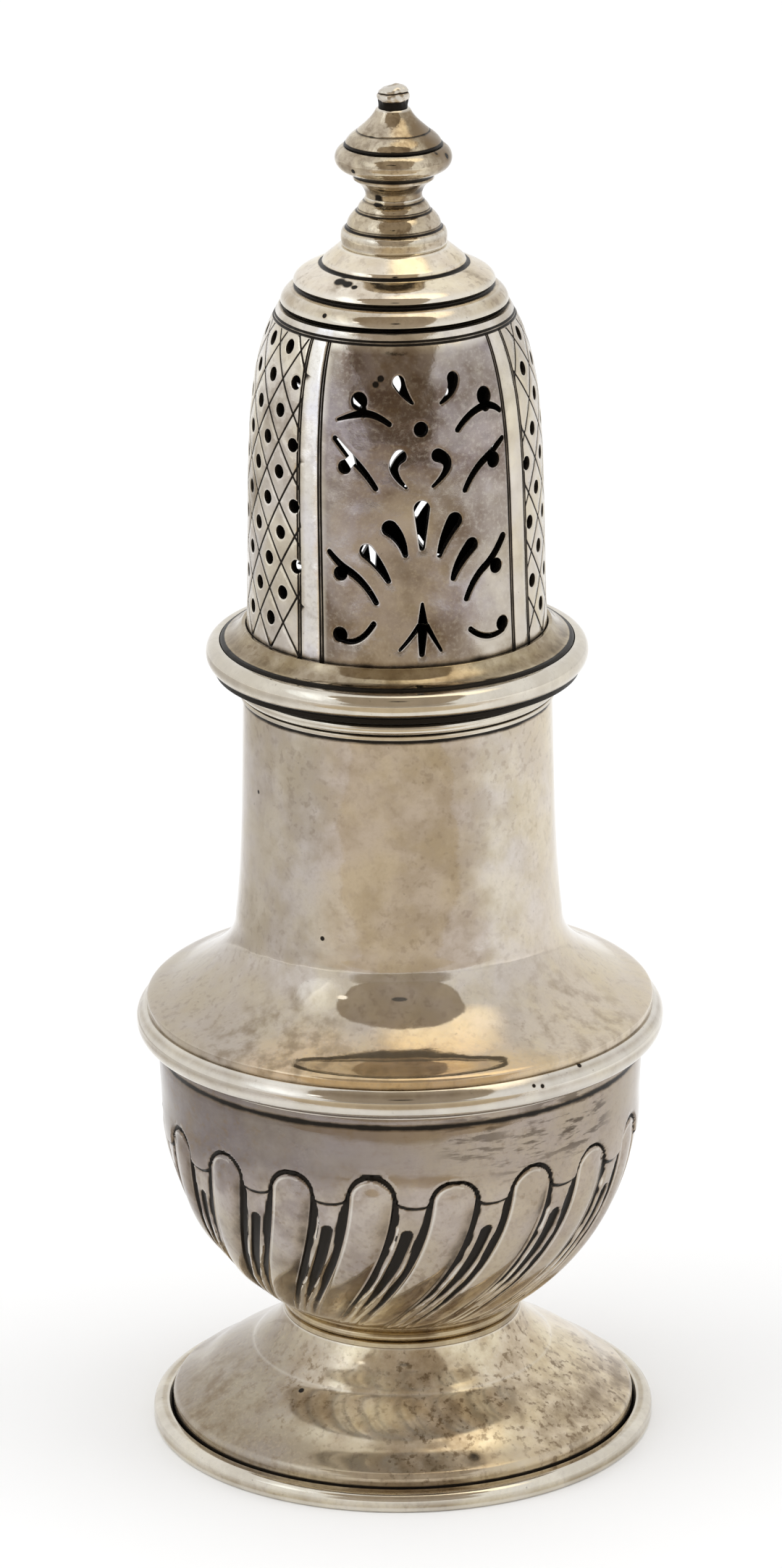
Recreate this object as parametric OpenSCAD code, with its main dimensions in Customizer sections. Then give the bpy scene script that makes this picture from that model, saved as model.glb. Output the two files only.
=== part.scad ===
// Sugar caster in silver: a lobed bowl on a domed foot, a tall neck, and a pierced cover that lifts off.
// Millimetres, +Z up. The foot stands on Z = 0, every piece is turned about the Z axis, the front is -Y.

/* [Whole caster] */
// Height of the caster, from the table to the top of its button
caster_h = 148.9; // [120:0.1:180]
// Share of the height left by the mouldings that the straight neck takes, the drum taking the rest
neck_share = 0.403; // [0.3:0.001:0.5]

/* [Foot] */
// Outer radius of the moulded wire round the foot
foot_r = 27.15; // [24:0.05:32]
// Height of the foot wire
foot_wire_h = 2; // [1.6:0.1:3]
// How far the foot wire stands out from the wall of the foot
foot_wire_w = 2.15; // [1.6:0.05:3]
// Height of the ledge inside the wire, which carries the foot
foot_ledge_h = 1; // [0.6:0.1:1.4]
// Height of the foot, from the table to the stem
foot_h = 12.8; // [11:0.1:18]
// Metal thickness of the foot
foot_wall = 0.9; // [0.6:0.05:1.3]
// Radius of the rolled edge of the foot's dome
foot_roll_r = 1.7; // [1:0.1:2.4]
// Height of the centre of that rolled edge
foot_roll_z = 2.6; // [2:0.1:3.6]
// Slope of the dome where it leaves the rolled edge, in degrees
foot_slope = 28; // [22:1:34]

/* [Stem] */
// Radius of the stem, where the bowl sits on its collet
stem_r = 12.6; // [9:0.1:16]
// Height of the collet between foot and bowl
collet_h = 1.8; // [1.2:0.1:3]
// Radial thickness of the collet
collet_wall = 2; // [1.6:0.1:3]
// How far the collet's bead stands out from the stem
collet_proud = 0.3; // [0.1:0.05:0.8]

/* [Bowl] */
// Radius of the bowl at its widest
bowl_r = 25.7; // [21:0.1:32]
// Metal thickness of the bowl
bowl_wall = 1.1; // [0.9:0.05:1.6]
// Height of the plain band above the widest point
bowl_band_h = 7.4; // [5:0.1:12]
// How much the plain band widens towards the girdle
bowl_flare = 0.2; // [0:0.05:0.6]
// Number of lobes round the bowl
lobe_count = 18; // [12:1:24]
// Depth of the chased outline of a lobe
lobe_outline_depth = 0.65; // [0.2:0.05:0.75]
// Depth of the slot between two lobes
lobe_slot_depth = 0.6; // [0.2:0.05:0.75]
// How far the plain ground lies below the crown of a lobe
lobe_rise = 0.25; // [0.1:0.05:0.4]
// Turn of the lobes from their tops to the stem, in degrees
lobe_swirl = 32; // [0:1:50]
// Angle from the front to the middle of the first lobe, at its top
lobe_turn = -7; // [-10:0.5:10]

/* [Girdle] */
// How far the girdle stands out from the bowl
girdle_proud = 2.33; // [1.6:0.05:3.5]
// Height of the girdle
girdle_h = 3.7; // [2.5:0.1:5]

/* [Neck] */
// How far the shoulder stands in from the edge of the girdle
shoulder_inset = 1.08; // [0.5:0.05:1.5]
// Height of the concave shoulder
shoulder_h = 10.5; // [8:0.1:14]
// Slope of the shoulder where it leaves the girdle, in degrees
shoulder_slope = 34; // [25:1:45]
// Radius at the foot of the straight neck
neck_base_r = 17.4; // [16.5:0.1:20]
// Radius of the neck under the lip
neck_r = 16.35; // [14:0.05:17.4]
// Metal thickness of the shoulder and neck
neck_wall = 0.95; // [0.8:0.05:1.3]
// Height of the lip wire
lip_h = 2.7; // [2:0.1:4]
// How far the lip wire stands out from the neck
lip_proud = 0.8; // [0.5:0.05:1.2]
// Width of the step in the neck that carries the lip wire
lip_step = 0.35; // [0.2:0.05:0.5]

/* [Cover fit] */
// Depth of the bezel, the sleeve of the cover that slides into the neck
bezel_depth = 9.5; // [5:0.1:16]
// Metal thickness of the bezel
bezel_wall = 0.6; // [0.4:0.05:1]
// Running clearance between bezel and neck, on the radius
bezel_clearance = 0.05; // [0.03:0.01:0.1]

/* [Cover flange] */
// How far the flange reaches beyond the neck
flange_over = 3.85; // [3.4:0.05:5]
// Height of the flange, from the lip of the neck to the top of its collar
flange_h = 5.1; // [4.4:0.1:7]
// Width of the bead wire round the flange
flange_wire_w = 1.45; // [1:0.05:1.6]
// Height of that bead wire
flange_wire_h = 2.7; // [2:0.1:3.2]
// Thickness of the lip under the bead wire
flange_lip_h = 0.6; // [0.4:0.1:1]
// Width of the lip under the bead wire
flange_lip_w = 0.6; // [0.3:0.05:0.9]

/* [Drum] */
// How far the drum stands in from the radius of the neck
drum_inset = 0.5; // [0.3:0.05:0.7]
// Radius at the top of the drum
drum_top_r = 12.1; // [10:0.1:13]
// Metal thickness of the drum
drum_wall = 0.8; // [0.6:0.05:1]
// Depth of the seat that the drum stands in
drum_seat_depth = 1.3; // [0.8:0.1:2]
// Gap left for solder round a seated edge
solder_gap = 0.05; // [0.03:0.01:0.1]

/* [Piercing] */
// Height of the plain edge below the pierced field
pierce_low = 1.6; // [1.5:0.1:3]
// Height of the plain edge above the pierced field
pierce_top = 1.4; // [1.2:0.1:3]
// Angle from the front to the middle of the first foliate panel
panel_turn = 10.3; // [-45:0.1:45]
// Half the angle that the foliage of a panel may take
panel_half = 40; // [30:1:42]
// Width of the scrolled piercings at their widest, in degrees of the drum
scroll_angle = 3; // [1.6:0.02:3.2]
// Radius of the balls at the sides of the scrolls, in degrees of the drum
ball_angle = 2.9; // [1.6:0.02:3]
// Radius of the round hole in the middle of the foliage, in degrees of the drum
eye_angle = 2.85; // [1.6:0.02:3.4]
// Radius of the wide ends of the petals, in degrees of the drum
petal_angle = 3.1; // [1.8:0.02:3.2]
// Radius of the holes in the lattice panels, in degrees of the drum
hole_angle = 2.6; // [1.6:0.02:3.2]
// Rows of holes in a lattice panel
lattice_rows = 10; // [6:1:11]
// Angle between two holes of one row
lattice_pitch = 16.4; // [14:0.1:20]
// Angle by which the lattice leans from its bottom row to its top row
lattice_lean = -6; // [-8:0.5:8]

/* [Cap] */
// Height of the wire that covers the joint of drum and cap
cap_wire_h = 2.3; // [1.8:0.1:3]
// Width that the cap wire spans, from its inner edge to the top of the drum
cap_wire_w = 2.2; // [1.8:0.1:3]
// How much the cap steps in from the top of the drum
cap_inset = 1.5; // [1.2:0.1:2]
// Height of the domed cap
cap_h = 4.1; // [3.2:0.1:6]
// Metal thickness of the cap
cap_wall = 0.9; // [0.6:0.05:1.2]

/* [Finial] */
// Radius of the lowest step of the finial
finial_base_r = 5.5; // [4.6:0.1:6.4]
// Height of the stepped base of the finial
finial_base_h = 5.2; // [4:0.1:7]
// Radius of the waist under the knop
finial_waist_r = 2.95; // [2.5:0.05:3.6]
// Radius of the knop
knop_r = 6.1; // [5:0.1:8]
// Height of the knop with its pointed top
knop_h = 9.3; // [7:0.1:13]
// Radius of the button on top
button_r = 1.76; // [1.5:0.02:2.2]
// Height of the button
button_h = 2.6; // [1.8:0.1:3.5]
// Radius of the pin that holds the finial together
pin_r = 1.1; // [0.8:0.05:1.2]
// Clearance round that pin
pin_clearance = 0.05; // [0.03:0.01:0.1]
// Radius of the riveted end of the pin, inside the cap
rivet_r = 2.2; // [1.8:0.1:3]
// Thickness of that riveted end
rivet_h = 0.8; // [0.5:0.1:1.2]

/* [Hidden] */
$fn = 96;

silver = "#c9c5bd";
worn_silver = "#b9b1a6";
dark_silver = "#9c958d";

// Height that is left for the straight neck and the drum
bowl_drop = sqrt(bowl_r * bowl_r - stem_r * stem_r);
lower_h = foot_h + collet_h + bowl_drop + bowl_band_h + girdle_h + shoulder_h + lip_h;
upper_h = flange_h - drum_seat_depth + cap_wire_h + cap_h + finial_base_h + knop_h + button_h;
spare_h = caster_h - lower_h - upper_h;
neck_h = spare_h * neck_share;
drum_h = spare_h - neck_h;
pierce_h = drum_h - pierce_low - pierce_top;
// The straight part of the mouth, which the bezel slides in
sleeve_h = bezel_depth + 1;

// Heights, each piece standing on the one before it
z_bowl = foot_h + collet_h;
z_widest = z_bowl + bowl_drop;
z_girdle = z_widest + bowl_band_h;
z_shoulder = z_girdle + girdle_h;
z_neck = z_shoulder + shoulder_h;
z_lip = z_neck + neck_h;
z_rim = z_lip + lip_h;
z_collar = z_rim + flange_h;
z_drum = z_collar - drum_seat_depth;
z_cap_wire = z_drum + drum_h;
z_cap = z_cap_wire + cap_wire_h;
z_finial = z_cap + cap_h;
z_knop = z_finial + finial_base_h;
z_button = z_knop + knop_h;

// Radii that follow from the sizes above
foot_dome_r = foot_r - foot_wire_w;
bowl_top_r = bowl_r + bowl_flare;
girdle_r = bowl_top_r + girdle_proud;
shoulder_r = girdle_r - shoulder_inset;
mouth_r = neck_r - neck_wall;
bezel_r = mouth_r - bezel_clearance;
flange_r = neck_r + flange_over;
flange_body_r = flange_r - flange_wire_w - solder_gap;
drum_r = neck_r - drum_inset;
cap_r = drum_top_r - cap_inset;
pin_bore_r = pin_r + pin_clearance;

// A point at a length and an angle, in degrees from the +R direction
function polar(length, angle) = length * [cos(angle), sin(angle)];

// A cubic curve that leaves p at angle a and reaches q at angle b; each pull is a share of their distance
function curve(p, a, pull_p, q, b, pull_q, n = 14) =
    let (d = norm(q - p), c1 = p + polar(pull_p * d, a), c2 = q - polar(pull_q * d, b))
    [for (i = [0:n]) let (t = i / n, u = 1 - t)
        u * u * u * p + 3 * u * u * t * c1 + 3 * u * t * t * c2 + t * t * t * q];

// Points of an arc about c, stretched by its two radii
function arc(c, rx, rz, from, to, n = 10) =
    [for (i = [0:n]) let (a = from + (to - from) * i / n) c + [rx * cos(a), rz * sin(a)]];

function reversed(path) = [for (i = [len(path) - 1:-1:0]) path[i]];

// The inner face of a wall whose outer face runs upwards along the path; its two ends stay level
function inner_face(path, wall) =
    let (last = len(path) - 1)
    [for (i = [0:last]) let (d = path[min(i + 1, last)] - path[max(i - 1, 0)])
        i == 0 || i == last ? path[i] - [wall * norm(d) / d[1], 0]
                            : path[i] + wall * [-d[1], d[0]] / norm(d)];

module turned(profile) {
    rotate_extrude() polygon(profile);
}

module shell(outer, wall) {
    turned(concat(outer, reversed(inner_face(outer, wall))));
}

// Moulded wire of the foot, with the ledge inside it that the foot is soldered to
module foot_wire() {
    edge = foot_wire_h * 0.2;
    color(worn_silver) turned(concat(
        [[foot_dome_r - foot_wall, 0], [foot_r - edge, 0]],
        arc([foot_r - edge, edge], edge, edge, -60, 0, 5),
        [[foot_r, foot_wire_h * 0.65]],
        curve([foot_r - edge * 0.3, foot_wire_h * 0.82], 130, 0.4,
              [foot_dome_r + solder_gap + edge, foot_wire_h], 180, 0.4, 6),
        [[foot_dome_r + solder_gap, foot_wire_h - edge],
         [foot_dome_r + solder_gap, foot_ledge_h],
         [foot_dome_r - foot_wall, foot_ledge_h]]));
}

// Raised foot: a rolled edge, then one hollow sweep up to the stem
module foot() {
    roll = [foot_dome_r - foot_roll_r, foot_roll_z];
    outer = concat(
        [[foot_dome_r, foot_ledge_h]],
        arc(roll, foot_roll_r, foot_roll_r, 0, 90 - foot_slope, 8),
        [for (i = [1:14]) curve(roll + polar(foot_roll_r, 90 - foot_slope), 180 - foot_slope, 0.365,
                                [stem_r + collet_proud, foot_h], 110, 0.26)[i]]);
    color(silver) shell(outer, foot_wall);
}

// Ring soldered between foot and bowl: a flat fillet below, a bead above
module stem_collet() {
    bead = collet_h * 0.3;
    color(worn_silver) turned(concat(
        [[stem_r - collet_wall, foot_h],
         [stem_r + collet_proud * 0.8, foot_h],
         [stem_r + collet_proud * 0.8, foot_h + collet_h * 0.3],
         [stem_r - collet_proud * 0.4, foot_h + collet_h * 0.38]],
        arc([stem_r + collet_proud - bead, foot_h + collet_h * 0.68], bead, bead, -70, 65, 8),
        [[stem_r - collet_proud * 0.4, z_bowl],
         [stem_r - collet_wall, z_bowl]]));
}

// Shares of the pitch across one lobe, from slot to slot: slot, rib, outline, flank, crown and back
lobe_across = [-0.5, -0.4, -0.31, -0.18, 0, 0.18, 0.31, 0.4];
// How deep each of those lines is cut, and how far down the bowl it starts, as a share of the arc
lobe_cut = [lobe_slot_depth, lobe_rise, lobe_outline_depth, 0.06, 0, 0.06, lobe_outline_depth, lobe_rise];
lobe_start = [0.18, 0.09, 0.05, 0.01, -0.01, 0.01, 0.05, 0.09];
// Shares of the arc from the widest point down to the stem at which the bowl has a ring of points
bowl_rings = [1, 0.93, 0.86, 0.79, 0.72, 0.65, 0.58, 0.51, 0.44, 0.37, 0.3, 0.24, 0.19, 0.145, 0.11,
    0.08, 0.055, 0.03, 0.01, -0.015];
bowl_inner_rings = 7;

function ease(x) = let (t = min(1, max(0, x))) t * t * (3 - 2 * t);

// Depth of the chasing below a plain sphere: each line sinks in from the ground and fades near the stem
function lobe_depth(k, share) =
    (lobe_rise + (lobe_cut[k] - lobe_rise) * ease((share - lobe_start[k]) / 0.05))
    * ease((0.95 - share) / 0.2);

// Raised and chased bowl, its lobes swirling down to the stem
module bowl() {
    columns = lobe_count * len(lobe_across);
    lat_end = acos(stem_r / bowl_r);
    inner_r = bowl_r - bowl_wall;
    inner_lat_end = asin((bowl_drop - bowl_wall) / inner_r);
    function place(r, z, a) = [r * sin(a), -r * cos(a), z];
    function angle(j, share) =
        let (k = j % len(lobe_across), lobe = floor(j / len(lobe_across)))
        lobe_turn + (lobe + lobe_across[k]) * 360 / lobe_count - lobe_swirl * share * share;
    function chased(share, j) =
        let (r = bowl_r - lobe_depth(j % len(lobe_across), share), lat = -share * lat_end)
        place(r * cos(lat), z_widest + r * sin(lat), angle(j, share));
    function plain(r, z) = [for (j = [0:columns - 1]) place(r, z, angle(j, 0))];
    rings = concat(
        [for (share = bowl_rings) [for (j = [0:columns - 1]) chased(share, j)]],
        [plain(bowl_r + bowl_flare * 0.5, z_widest + bowl_band_h * 0.5), plain(bowl_top_r, z_girdle)],
        [plain(bowl_top_r - bowl_wall, z_girdle)],
        [for (i = [0:bowl_inner_rings]) let (lat = -inner_lat_end * i / bowl_inner_rings)
            plain(inner_r * cos(lat), z_widest + inner_r * sin(lat))]);
    last = len(rings) - 1;
    count = len(rings) * columns;
    function at(i, j) = i * columns + j % columns;
    color(silver) polyhedron(
        points = concat([for (ring = rings) each ring], [[0, 0, z_bowl], [0, 0, z_bowl + bowl_wall]]),
        faces = concat(
            [for (i = [0:last - 1], j = [0:columns - 1]) [at(i, j), at(i + 1, j), at(i + 1, j + 1)]],
            [for (i = [0:last - 1], j = [0:columns - 1]) [at(i, j), at(i + 1, j + 1), at(i, j + 1)]],
            [for (j = [0:columns - 1]) [count, at(0, j), at(0, j + 1)]],
            [for (j = [0:columns - 1]) [count + 1, at(last, j + 1), at(last, j)]]));
}

// Moulded wire that covers the joint of bowl and shoulder: an ovolo under a sloped top
module girdle_wire() {
    toe = bowl_top_r + girdle_proud * 0.1;
    nose_z = z_girdle + girdle_h * 0.64;
    ledge = shoulder_r + shoulder_inset * 0.15;
    color(worn_silver) turned(concat(
        [[bowl_top_r - bowl_wall, z_girdle], [toe, z_girdle]],
        curve([toe, z_girdle + girdle_h * 0.06], 15, 0.6, [girdle_r, nose_z], 95, 0.35, 8),
        curve([girdle_r, nose_z + girdle_h * 0.04], 95, 0.3, [ledge, z_shoulder], 140, 0.3, 5),
        [[bowl_top_r - bowl_wall, z_shoulder]]));
}

// Raised upper body: a hollow shoulder on a level seat, drawn up into a tall neck stepped for the lip wire
module shoulder_neck() {
    edge_h = girdle_h * 0.08;
    outer = concat(
        [[shoulder_r, z_shoulder]],
        curve([shoulder_r, z_shoulder + edge_h], 180 - shoulder_slope, 0.385,
              [neck_base_r, z_neck], 93, 0.4, 16),
        [for (i = [1:8]) curve([neck_base_r, z_neck], 97, 0.3, [neck_r, z_lip], 92, 0.3, 8)[i]]);
    inner = inner_face(outer, neck_wall);
    sleeve_z = z_rim - sleeve_h;
    seat_w = (neck_wall / cos(shoulder_slope) - edge_h) / tan(shoulder_slope);
    color(silver) turned(concat(
        outer,
        [[neck_r - lip_step, z_lip], [neck_r - lip_step, z_rim], [mouth_r, z_rim], [mouth_r, sleeve_z]],
        [for (p = reversed(inner)) if (p[1] < sleeve_z && p[1] > z_shoulder + edge_h) p],
        [[shoulder_r - seat_w, z_shoulder]]));
}

// Moulded wire round the mouth: a thin fillet and a bead
module lip_wire() {
    inner = neck_r - lip_step + solder_gap;
    bead = lip_h * 0.27;
    color(worn_silver) turned(concat(
        [[inner, z_lip],
         [neck_r + lip_proud * 0.4, z_lip],
         [neck_r + lip_proud * 0.4, z_lip + lip_h * 0.14],
         [neck_r + lip_proud * 0.2, z_lip + lip_h * 0.2]],
        arc([neck_r + lip_proud - bead, z_lip + lip_h * 0.49], bead, bead, -70, 70, 8),
        [[neck_r + lip_proud * 0.3, z_lip + lip_h * 0.8],
         [neck_r + lip_proud * 0.3, z_rim],
         [inner, z_rim]]));
}

// Sleeve under the cover, which slides into the neck
module cover_bezel() {
    color(dark_silver) turned([
        [bezel_r - bezel_wall, z_rim - bezel_depth],
        [bezel_r, z_rim - bezel_depth],
        [bezel_r, z_rim],
        [bezel_r - bezel_wall, z_rim]]);
}

// Cast ring that the cover rests on: a lip for the bead wire, a hollow top, and a collar round the drum
module cover_flange() {
    collar_r = drum_r + solder_gap * 2;
    hip_z = z_rim + flange_lip_h + flange_wire_h;
    color(silver) turned(concat(
        [[bezel_r - bezel_wall, z_rim],
         [flange_body_r + flange_lip_w, z_rim],
         [flange_body_r + flange_lip_w, z_rim + flange_lip_h],
         [flange_body_r, z_rim + flange_lip_h],
         [flange_body_r, hip_z]],
        curve([flange_body_r - solder_gap * 4, hip_z + solder_gap * 4], 168, 0.4,
              [collar_r + drum_inset * 0.8, z_collar], 130, 0.35, 8),
        [[collar_r, z_collar], [collar_r, z_drum], [bezel_r - bezel_wall, z_drum]]));
}

// Bead wire round the flange
module flange_wire() {
    foot_z = z_rim + flange_lip_h;
    half = flange_wire_h / 2;
    color(worn_silver) turned(concat(
        [[flange_r - flange_wire_w, foot_z]],
        arc([flange_r - flange_wire_w * 0.75, foot_z + half], flange_wire_w * 0.75, half, -90, 90, 14),
        [[flange_r - flange_wire_w, foot_z + flange_wire_h]]));
}

// Places a piercing in the drum's wall: a turn from the front and a share of the pierced height
module pierce(turn, share) {
    reach = drum_top_r * 0.6;
    rotate([0, 0, turn])
        translate([0, 0, z_drum + pierce_low + pierce_h * share])
        rotate([90, 0, 0])
        translate([0, 0, reach])
        linear_extrude(drum_r + drum_inset - reach)
        children();
}

// Width of one degree on the drum's wall, and the unit of the widths: a degree, or less on a low drum
degree = PI / 180 * drum_r;
fine = min(degree, pierce_h / 119);
// The foliage is drawn over 40 degrees to either side, and spread to the width of its panel
spread = panel_half / 40;
function on_wall(p, centre) = [(p[0] - centre[0]) * spread * degree, (p[1] - centre[1]) * pierce_h];

// Outline of a stroke through three points a, b and c, its half width easing from the first end to the last
function stroke(a, b, c, w_a, w_c, n = 8) =
    let (bend = 2 * b - (a + c) / 2,
         line = [for (i = [0:n]) let (t = i / n, u = 1 - t) u * u * a + 2 * u * t * bend + t * t * c],
         side = [for (i = [0:n]) let (d = line[min(i + 1, n)] - line[max(i - 1, 0)])
                    [-d[1], d[0]] / norm(d) * (w_a + (w_c - w_a) * i / n)])
    concat([for (i = [0:n]) line[i] + side[i]], [for (i = [n:-1:0]) line[i] - side[i]]);

// Half widths of the scrolls, in degrees: at their widest, at a blunt end and at a fine end
wide = scroll_angle * 0.48;
blunt = scroll_angle * 0.32;
fine_end = scroll_angle * 0.16;

// One curved piercing through three points, cut square to the wall at the middle one; points are degrees and
// shares of the pierced height, widths are degrees
module scroll(panel, a, b, c, w_a = wide, w_c = blunt) {
    pierce(panel + b[0] * spread, b[1])
        polygon(stroke(on_wall(a, b), [0, 0], on_wall(c, b), w_a * fine, w_c * fine));
}

module hole(turn, share, r) {
    pierce(turn, share) circle(r * fine);
}

module ball(panel, p, r = ball_angle) {
    hole(panel + p[0] * spread, p[1], r);
}

// A comma: a round head and a curved tail that runs out fine
module comma(panel, head, bend, tip) {
    head_r = ball_angle * 0.88;
    scroll(panel, head, bend, tip, head_r, fine_end);
    ball(panel, head, head_r);
}

// A petal: a stroke that widens to a round end
module petal(panel, narrow, bend, broad, r) {
    scroll(panel, narrow, bend, broad, blunt, r);
    ball(panel, broad, r);
}

// A foliate panel, sawn by eye and so not quite even: negative degrees lie left of its middle line
module foliage(panel) {
    // commas above and below the eye
    comma(panel, [-8.9, 0.903], [-6.4, 0.868], [-3.3, 0.839]);
    comma(panel, [14.7, 0.904], [13, 0.866], [8.4, 0.834]);
    ball(panel, [-0.2, 0.757], eye_angle);
    comma(panel, [-8.7, 0.674], [-11, 0.631], [-6.4, 0.574]);
    comma(panel, [6.3, 0.672], [10, 0.634], [4, 0.574]);
    // upper scrolls: an arch of two strokes, and a ball on a short neck above it
    scroll(panel, [-23.5, 0.8075], [-28.7, 0.797], [-33.9, 0.782], wide, fine_end);
    scroll(panel, [-23.5, 0.8075], [-18.2, 0.8], [-12.8, 0.7755]);
    scroll(panel, [-23.2, 0.806], [-23.9, 0.8185], [-24.6, 0.832], wide, ball_angle * 0.7);
    ball(panel, [-25.3, 0.8435], ball_angle * 1.18);
    scroll(panel, [28.3, 0.8055], [32.6, 0.7985], [36.3, 0.779]);
    scroll(panel, [28.3, 0.8055], [20.8, 0.7855], [14.9, 0.745]);
    scroll(panel, [29, 0.803], [28.9, 0.815], [28.8, 0.828], ball_angle * 0.7, ball_angle * 0.85);
    ball(panel, [28.7, 0.836], ball_angle * 1.2);
    // middle scrolls, each with a ball below it
    scroll(panel, [-26.7, 0.655], [-30.8, 0.6895], [-34.9, 0.7225]);
    scroll(panel, [-26.7, 0.655], [-22.2, 0.617], [-18.2, 0.571]);
    scroll(panel, [-30.6, 0.634], [-29.2, 0.646], [-27.8, 0.658], ball_angle * 0.8, ball_angle * 0.6);
    ball(panel, [-30.6, 0.634], ball_angle * 0.9);
    scroll(panel, [27.9, 0.6433], [32.2, 0.667], [36.3, 0.69]);
    scroll(panel, [27.9, 0.6433], [21.9, 0.6065], [17.2, 0.55]);
    ball(panel, [31, 0.629], ball_angle * 1.05);
    // lower scrolls, in the same way
    scroll(panel, [-29.3, 0.301], [-33, 0.324], [-36.8, 0.355]);
    scroll(panel, [-29.3, 0.301], [-23.2, 0.2615], [-18.2, 0.2]);
    ball(panel, [-32.2, 0.288], ball_angle * 0.94);
    scroll(panel, [25.5, 0.29], [30.4, 0.326], [34.9, 0.374], wide, wide);
    scroll(panel, [25.5, 0.29], [20.8, 0.2525], [17.1, 0.196]);
    ball(panel, [31.1, 0.284]);
    // hooks at the bottom
    scroll(panel, [-31.7, 0.072], [-25.2, 0.0755], [-19.2, 0.13], blunt, blunt);
    ball(panel, [-32.4, 0.088]);
    scroll(panel, [34.2, 0.069], [26, 0.061], [18.7, 0.094], blunt, blunt);
    ball(panel, [33.9, 0.09]);
    // fan of five petals
    petal(panel, [-0.5, 0.377], [-0.45, 0.44], [-0.4, 0.504], petal_angle);
    petal(panel, [-6.9, 0.356], [-9.1, 0.407], [-12.8, 0.443], petal_angle);
    petal(panel, [6.3, 0.35], [8.8, 0.405], [12.6, 0.457], petal_angle);
    petal(panel, [-13.5, 0.272], [-17.2, 0.3225], [-21.8, 0.366], petal_angle * 0.88);
    petal(panel, [11.7, 0.269], [14.6, 0.319], [19.7, 0.37], petal_angle * 0.88);
    // spear with two legs
    scroll(panel, [-0.5, 0.12], [-0.55, 0.16], [-0.6, 0.195], ball_angle * 0.68, fine_end);
    scroll(panel, [-0.5, 0.125], [-0.8, 0.075], [-1, 0.03], ball_angle * 0.68, blunt);
    scroll(panel, [-2, 0.122], [-5.2, 0.086], [-9.3, 0.046], blunt, fine_end);
    scroll(panel, [1, 0.122], [3.7, 0.08], [6.5, 0.038], blunt, fine_end);
}

// A lattice panel: rows of round holes, alternate rows set half a pitch aside
module lattice(panel) {
    last = lattice_rows - 1;
    first_share = 0.088;
    row_share = 0.88 / last;
    for (row = [0:last], column = [-4:4]) {
        offset = lattice_pitch * (column + 0.2 + (row % 2) / 2) - lattice_lean * (0.5 - row / last);
        if (abs(offset) < panel_half - 1)
            hole(panel + offset, first_share + row_share * row, hole_angle);
    }
}

// Pierced drum of the cover: foliate and lattice panels in turn, parted by plain straps
module pierced_drum() {
    outer = concat(
        [[drum_r, z_drum]],
        curve([drum_r, z_drum + pierce_low], 92, 0.5, [drum_top_r, z_cap_wire], 121, 0.23, 16));
    color(silver) difference() {
        shell(outer, drum_wall);
        for (half = [0, 180]) {
            foliage(panel_turn + half);
            lattice(panel_turn + 90 + half);
        }
    }
}

// Wire that covers the joint of drum and cap, a rounded ring between two grooves
module cap_wire() {
    out = drum_top_r - solder_gap * 4;
    top = cap_r + solder_gap * 2;
    color(worn_silver) turned(concat(
        [[drum_top_r - cap_wire_w, z_cap_wire],
         [out - cap_wire_w * 0.08, z_cap_wire],
         [out - cap_wire_w * 0.08, z_cap_wire + cap_wire_h * 0.12]],
        curve([out, z_cap_wire + cap_wire_h * 0.22], 95, 0.3,
              [top + cap_wire_w * 0.1, z_cap_wire + cap_wire_h * 0.86], 150, 0.3, 8),
        [[top, z_cap], [drum_top_r - cap_wire_w, z_cap]]));
}

// Domed cap: a rounded ring, a groove and a sloped top that carries the finial
module cap_dome() {
    crown_r = finial_base_r + cap_wall * 0.15;
    groove_r = crown_r + (cap_r - crown_r) * 0.42;
    groove_z = z_cap + cap_h * 0.57;
    ceiling_z = z_finial - cap_wall;
    inner_r = cap_r - cap_wall;
    color(silver) turned(concat(
        [[inner_r, z_cap], [cap_r, z_cap]],
        curve([cap_r - cap_wall * 0.06, z_cap + cap_h * 0.06], 105, 0.3,
              [groove_r + cap_wall * 0.4, groove_z - cap_h * 0.06], 152, 0.35, 8),
        [[groove_r, groove_z], [groove_r - cap_wall * 0.4, groove_z + cap_h * 0.08]],
        [[crown_r, z_finial], [pin_bore_r, z_finial], [pin_bore_r, ceiling_z],
         [crown_r - cap_wall * 0.7, ceiling_z],
         [groove_r - cap_wall * 0.5, groove_z - cap_wall * 0.75],
         [inner_r, z_cap + cap_h * 0.08]]));
}

// Turned base of the finial: three steps, each rounded and narrower than the one below
module finial_base() {
    reach = finial_base_r - finial_waist_r;
    function step(x, y) = [finial_waist_r + reach * x, z_finial + finial_base_h * y];
    color(worn_silver) turned(concat(
        [[pin_bore_r, z_finial], [finial_base_r - reach * 0.05, z_finial]],
        curve(step(1, 0.05), 90, 0.3, step(0.9, 0.33), 150, 0.3, 5),
        [step(0.78, 0.37), step(0.78, 0.4)],
        curve(step(0.75, 0.42), 90, 0.3, step(0.45, 0.67), 135, 0.3, 5),
        [step(0.36, 0.7), step(0.34, 0.73)],
        curve(step(0.3, 0.75), 90, 0.3, step(0.06, 0.92), 130, 0.3, 5),
        [[finial_waist_r, z_knop], [pin_bore_r, z_knop]]));
}

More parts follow.
